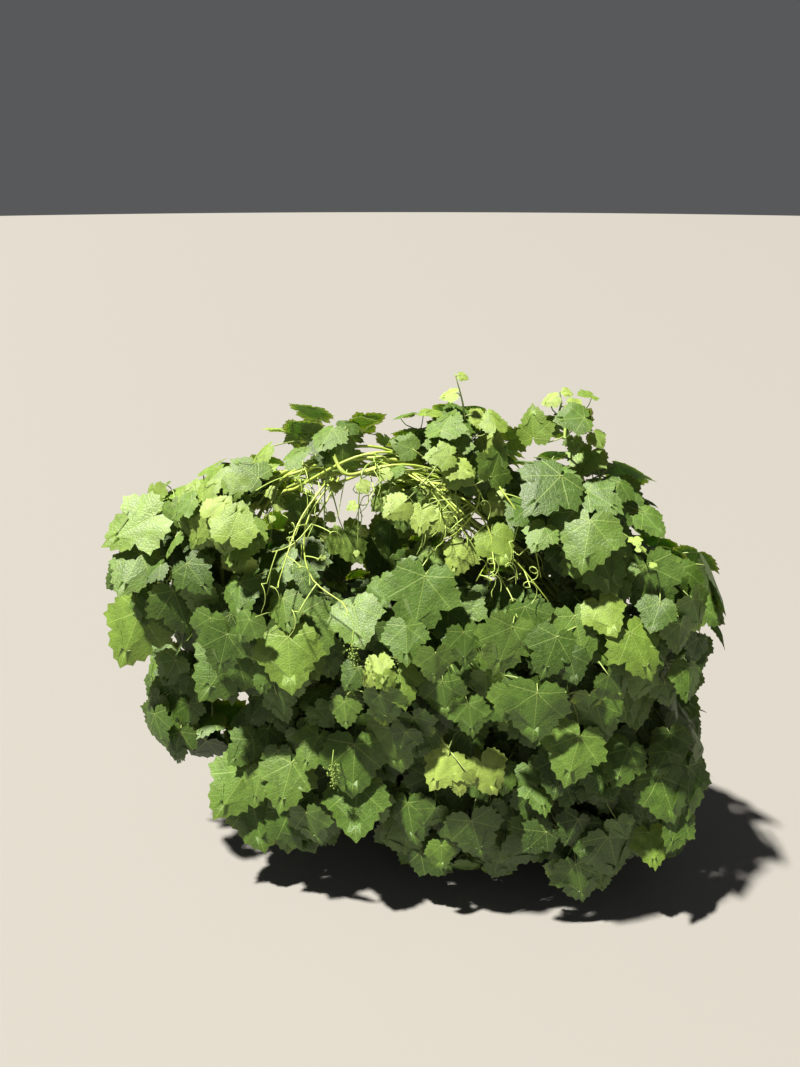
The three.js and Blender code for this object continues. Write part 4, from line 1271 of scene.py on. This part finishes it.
between = random_from(LACE_SEED)
lace = bmesh.new()
for i in range(TENDRIL_COUNT):
    along = mix(*TENDRIL_STRETCH, (i + between(-0.4, 0.4)) / TENDRIL_COUNT)
    way = Vector((between(-0.7, 0.9), between(-1.0, -0.1), between(-0.6, 0.5))).normalized()
    tendril(lace, plait_place(between(0, 1), along), way, between(*TENDRIL_LENGTHS), between)
for i in range(TIP_COUNT):
    along = mix(*TIP_STRETCH, (i + 0.5) / TIP_COUNT)
    way = Vector((between(-0.8, 0.6), between(-1.0, -0.3), between(-0.1, 0.5))).normalized()
    twigs.append(hanging_tip(plait_place(between(0, 1), along), way, between(*TIP_LENGTHS), between))
buds = bmesh.new()
for place in CLUSTERS:
    flower_cluster(buds, Vector(place), between)
for points in STRAY_SHOOTS:
    twigs.append(stray_shoot(points, between))
laced = []
for start, end, turns, swing in LACING:
    points = []
    for i in range(LACING_PLACES):
        out = swing * min(1, LACING_START[0] + LACING_START[1] * i)
        points.append(plait_place(turns, mix(start, end, i / (LACING_PLACES - 1)), out, LACING_TWIST))
    laced.append(Limb(points, LACING_RADII))
for points in SPILLS:
    laced.append(Limb([Vector(point) for point in points], SPILL_RADII))
    for i in range(SPILL_TENDRILS):
        start = laced[-1].curve.at(0.35 + 0.2 * i)
        way = Vector((between(-1, 1), between(-0.8, -0.1), between(-0.8, 0.3))).normalized()
        tendril(lace, start, way, between(*SIDE_TENDRIL_LENGTHS), between)

bark = bark_material()
mesh = bmesh.new()
woody_tube(mesh, limbs["trunk"], *WOOD["trunk"], flat_foot=True)
finish_piece("trunk_bark", mesh, bark, ["trunk"])
mesh = bmesh.new()
for side in ARM_ENDS:
    woody_tube(mesh, limbs[f"arm_{side}"], *WOOD["arm"])
finish_piece("arm_bark", mesh, bark, [f"arm_{side}" for side in ARM_ENDS])

mesh = bmesh.new()
green_nodes = [name for name in limbs if name.split("_")[0] in ("riser", "plait", "bough")]
for name in green_nodes:
    jointed_tube(mesh, limbs[name], 7 if name.startswith("bough") else 8)
finish_piece("green_shoots", mesh, shoot_material(), green_nodes)

for name, own, colour in (("fine_twigs", twigs, SHOOT_GREEN), ("laced_shoots", laced, LACING_GREEN)):
    mesh = bmesh.new()
    for twig in own:
        tube(mesh, *twig.rings(max(2, round(twig.curve.length / TWIG_RING_STEP))), 5)
    finish_piece(name, mesh, Paint(f"{name}_green", colour, 0.42).material)

mesh = bmesh.new()
for stalk in stalks:
    tube(mesh, *Limb(stalk, STALK_RADII, 6).rings(4), 4)
finish_piece("flower_clusters", buds, Paint("bud_green", BUD_GREEN, 0.5).material)
finish_piece("tendrils", lace, Paint("tendril_green", TENDRIL_GREEN, 0.4).material)
finish_piece("leaf_stalks", mesh, Paint("stalk_green", STALK_GREEN, 0.45).material)

leaf_shapes = [leaf_mesh(number) for number in range(LEAF_SHAPES)]
groups = {name: [] for name in LEAF_TINTS}
for number, leaf in enumerate(leaves):
    tint = list(LEAF_TINTS)[int(leaf.tone * len(LEAF_TINTS))]
    groups[tint].append((number, leaf))
mass_nodes = [f"leaves_{name}" for name in MASSES]
for name, chosen in groups.items():
    slot = "young_leaf" if name in YOUNG_TINTS else "leaf"
    join_leaves(name, chosen, leaf_shapes, mass_nodes if name == "leaves_full" else ())

# The room


def shine(name, kind, way, place=(0, 0, 0), **settings):
    """A lamp that shines one way."""
    data = bpy.data.lights.new(name, kind)
    for key, value in settings.items():
        setattr(data, key, value)
    lamp = add_object(name, data)
    lamp.location = place
    lamp.rotation_euler = way.to_track_quat("-Z", "Y").to_euler()


mesh = bmesh.new()
bmesh.ops.create_circle(mesh, cap_ends=True, segments=96, radius=FLOOR_RADIUS)
floor = add_object("floor", made_mesh("floor", mesh))
floor.data.materials.append(Paint("pale_floor", FLOOR_GREY, 0.8).material)

shine("high_key", "SUN", SUN_WAY, energy=11.8, angle=0.05, color=(1.0, 0.96, 0.86))
fill_looks = {"shape": "DISK", "size": 2.6, "energy": 2, "color": (1.0, 0.98, 0.95)}
shine("front_fill", "AREA", FILL_AIM - FILL_PLACE, FILL_PLACE, **fill_looks)
world = bpy.data.worlds.new("studio")
world.use_nodes = True
world.node_tree.nodes["Background"].inputs[0].default_value = (0.96, 0.97, 1.0, 1)
world.node_tree.nodes["Background"].inputs[1].default_value = 0.11
bpy.context.scene.world = world

camera = add_object("camera", bpy.data.cameras.new("camera"))
camera.data.lens = 800 / 1067 * 36
camera.location = CAMERA_PLACE
camera.rotation_euler = (math.radians(CAMERA_TILT), 0, math.radians(CAMERA_TURN))
bpy.context.scene.camera = camera
bpy.context.scene.view_settings.view_transform = "Standard"
bpy.context.scene.view_settings.exposure = -0.1
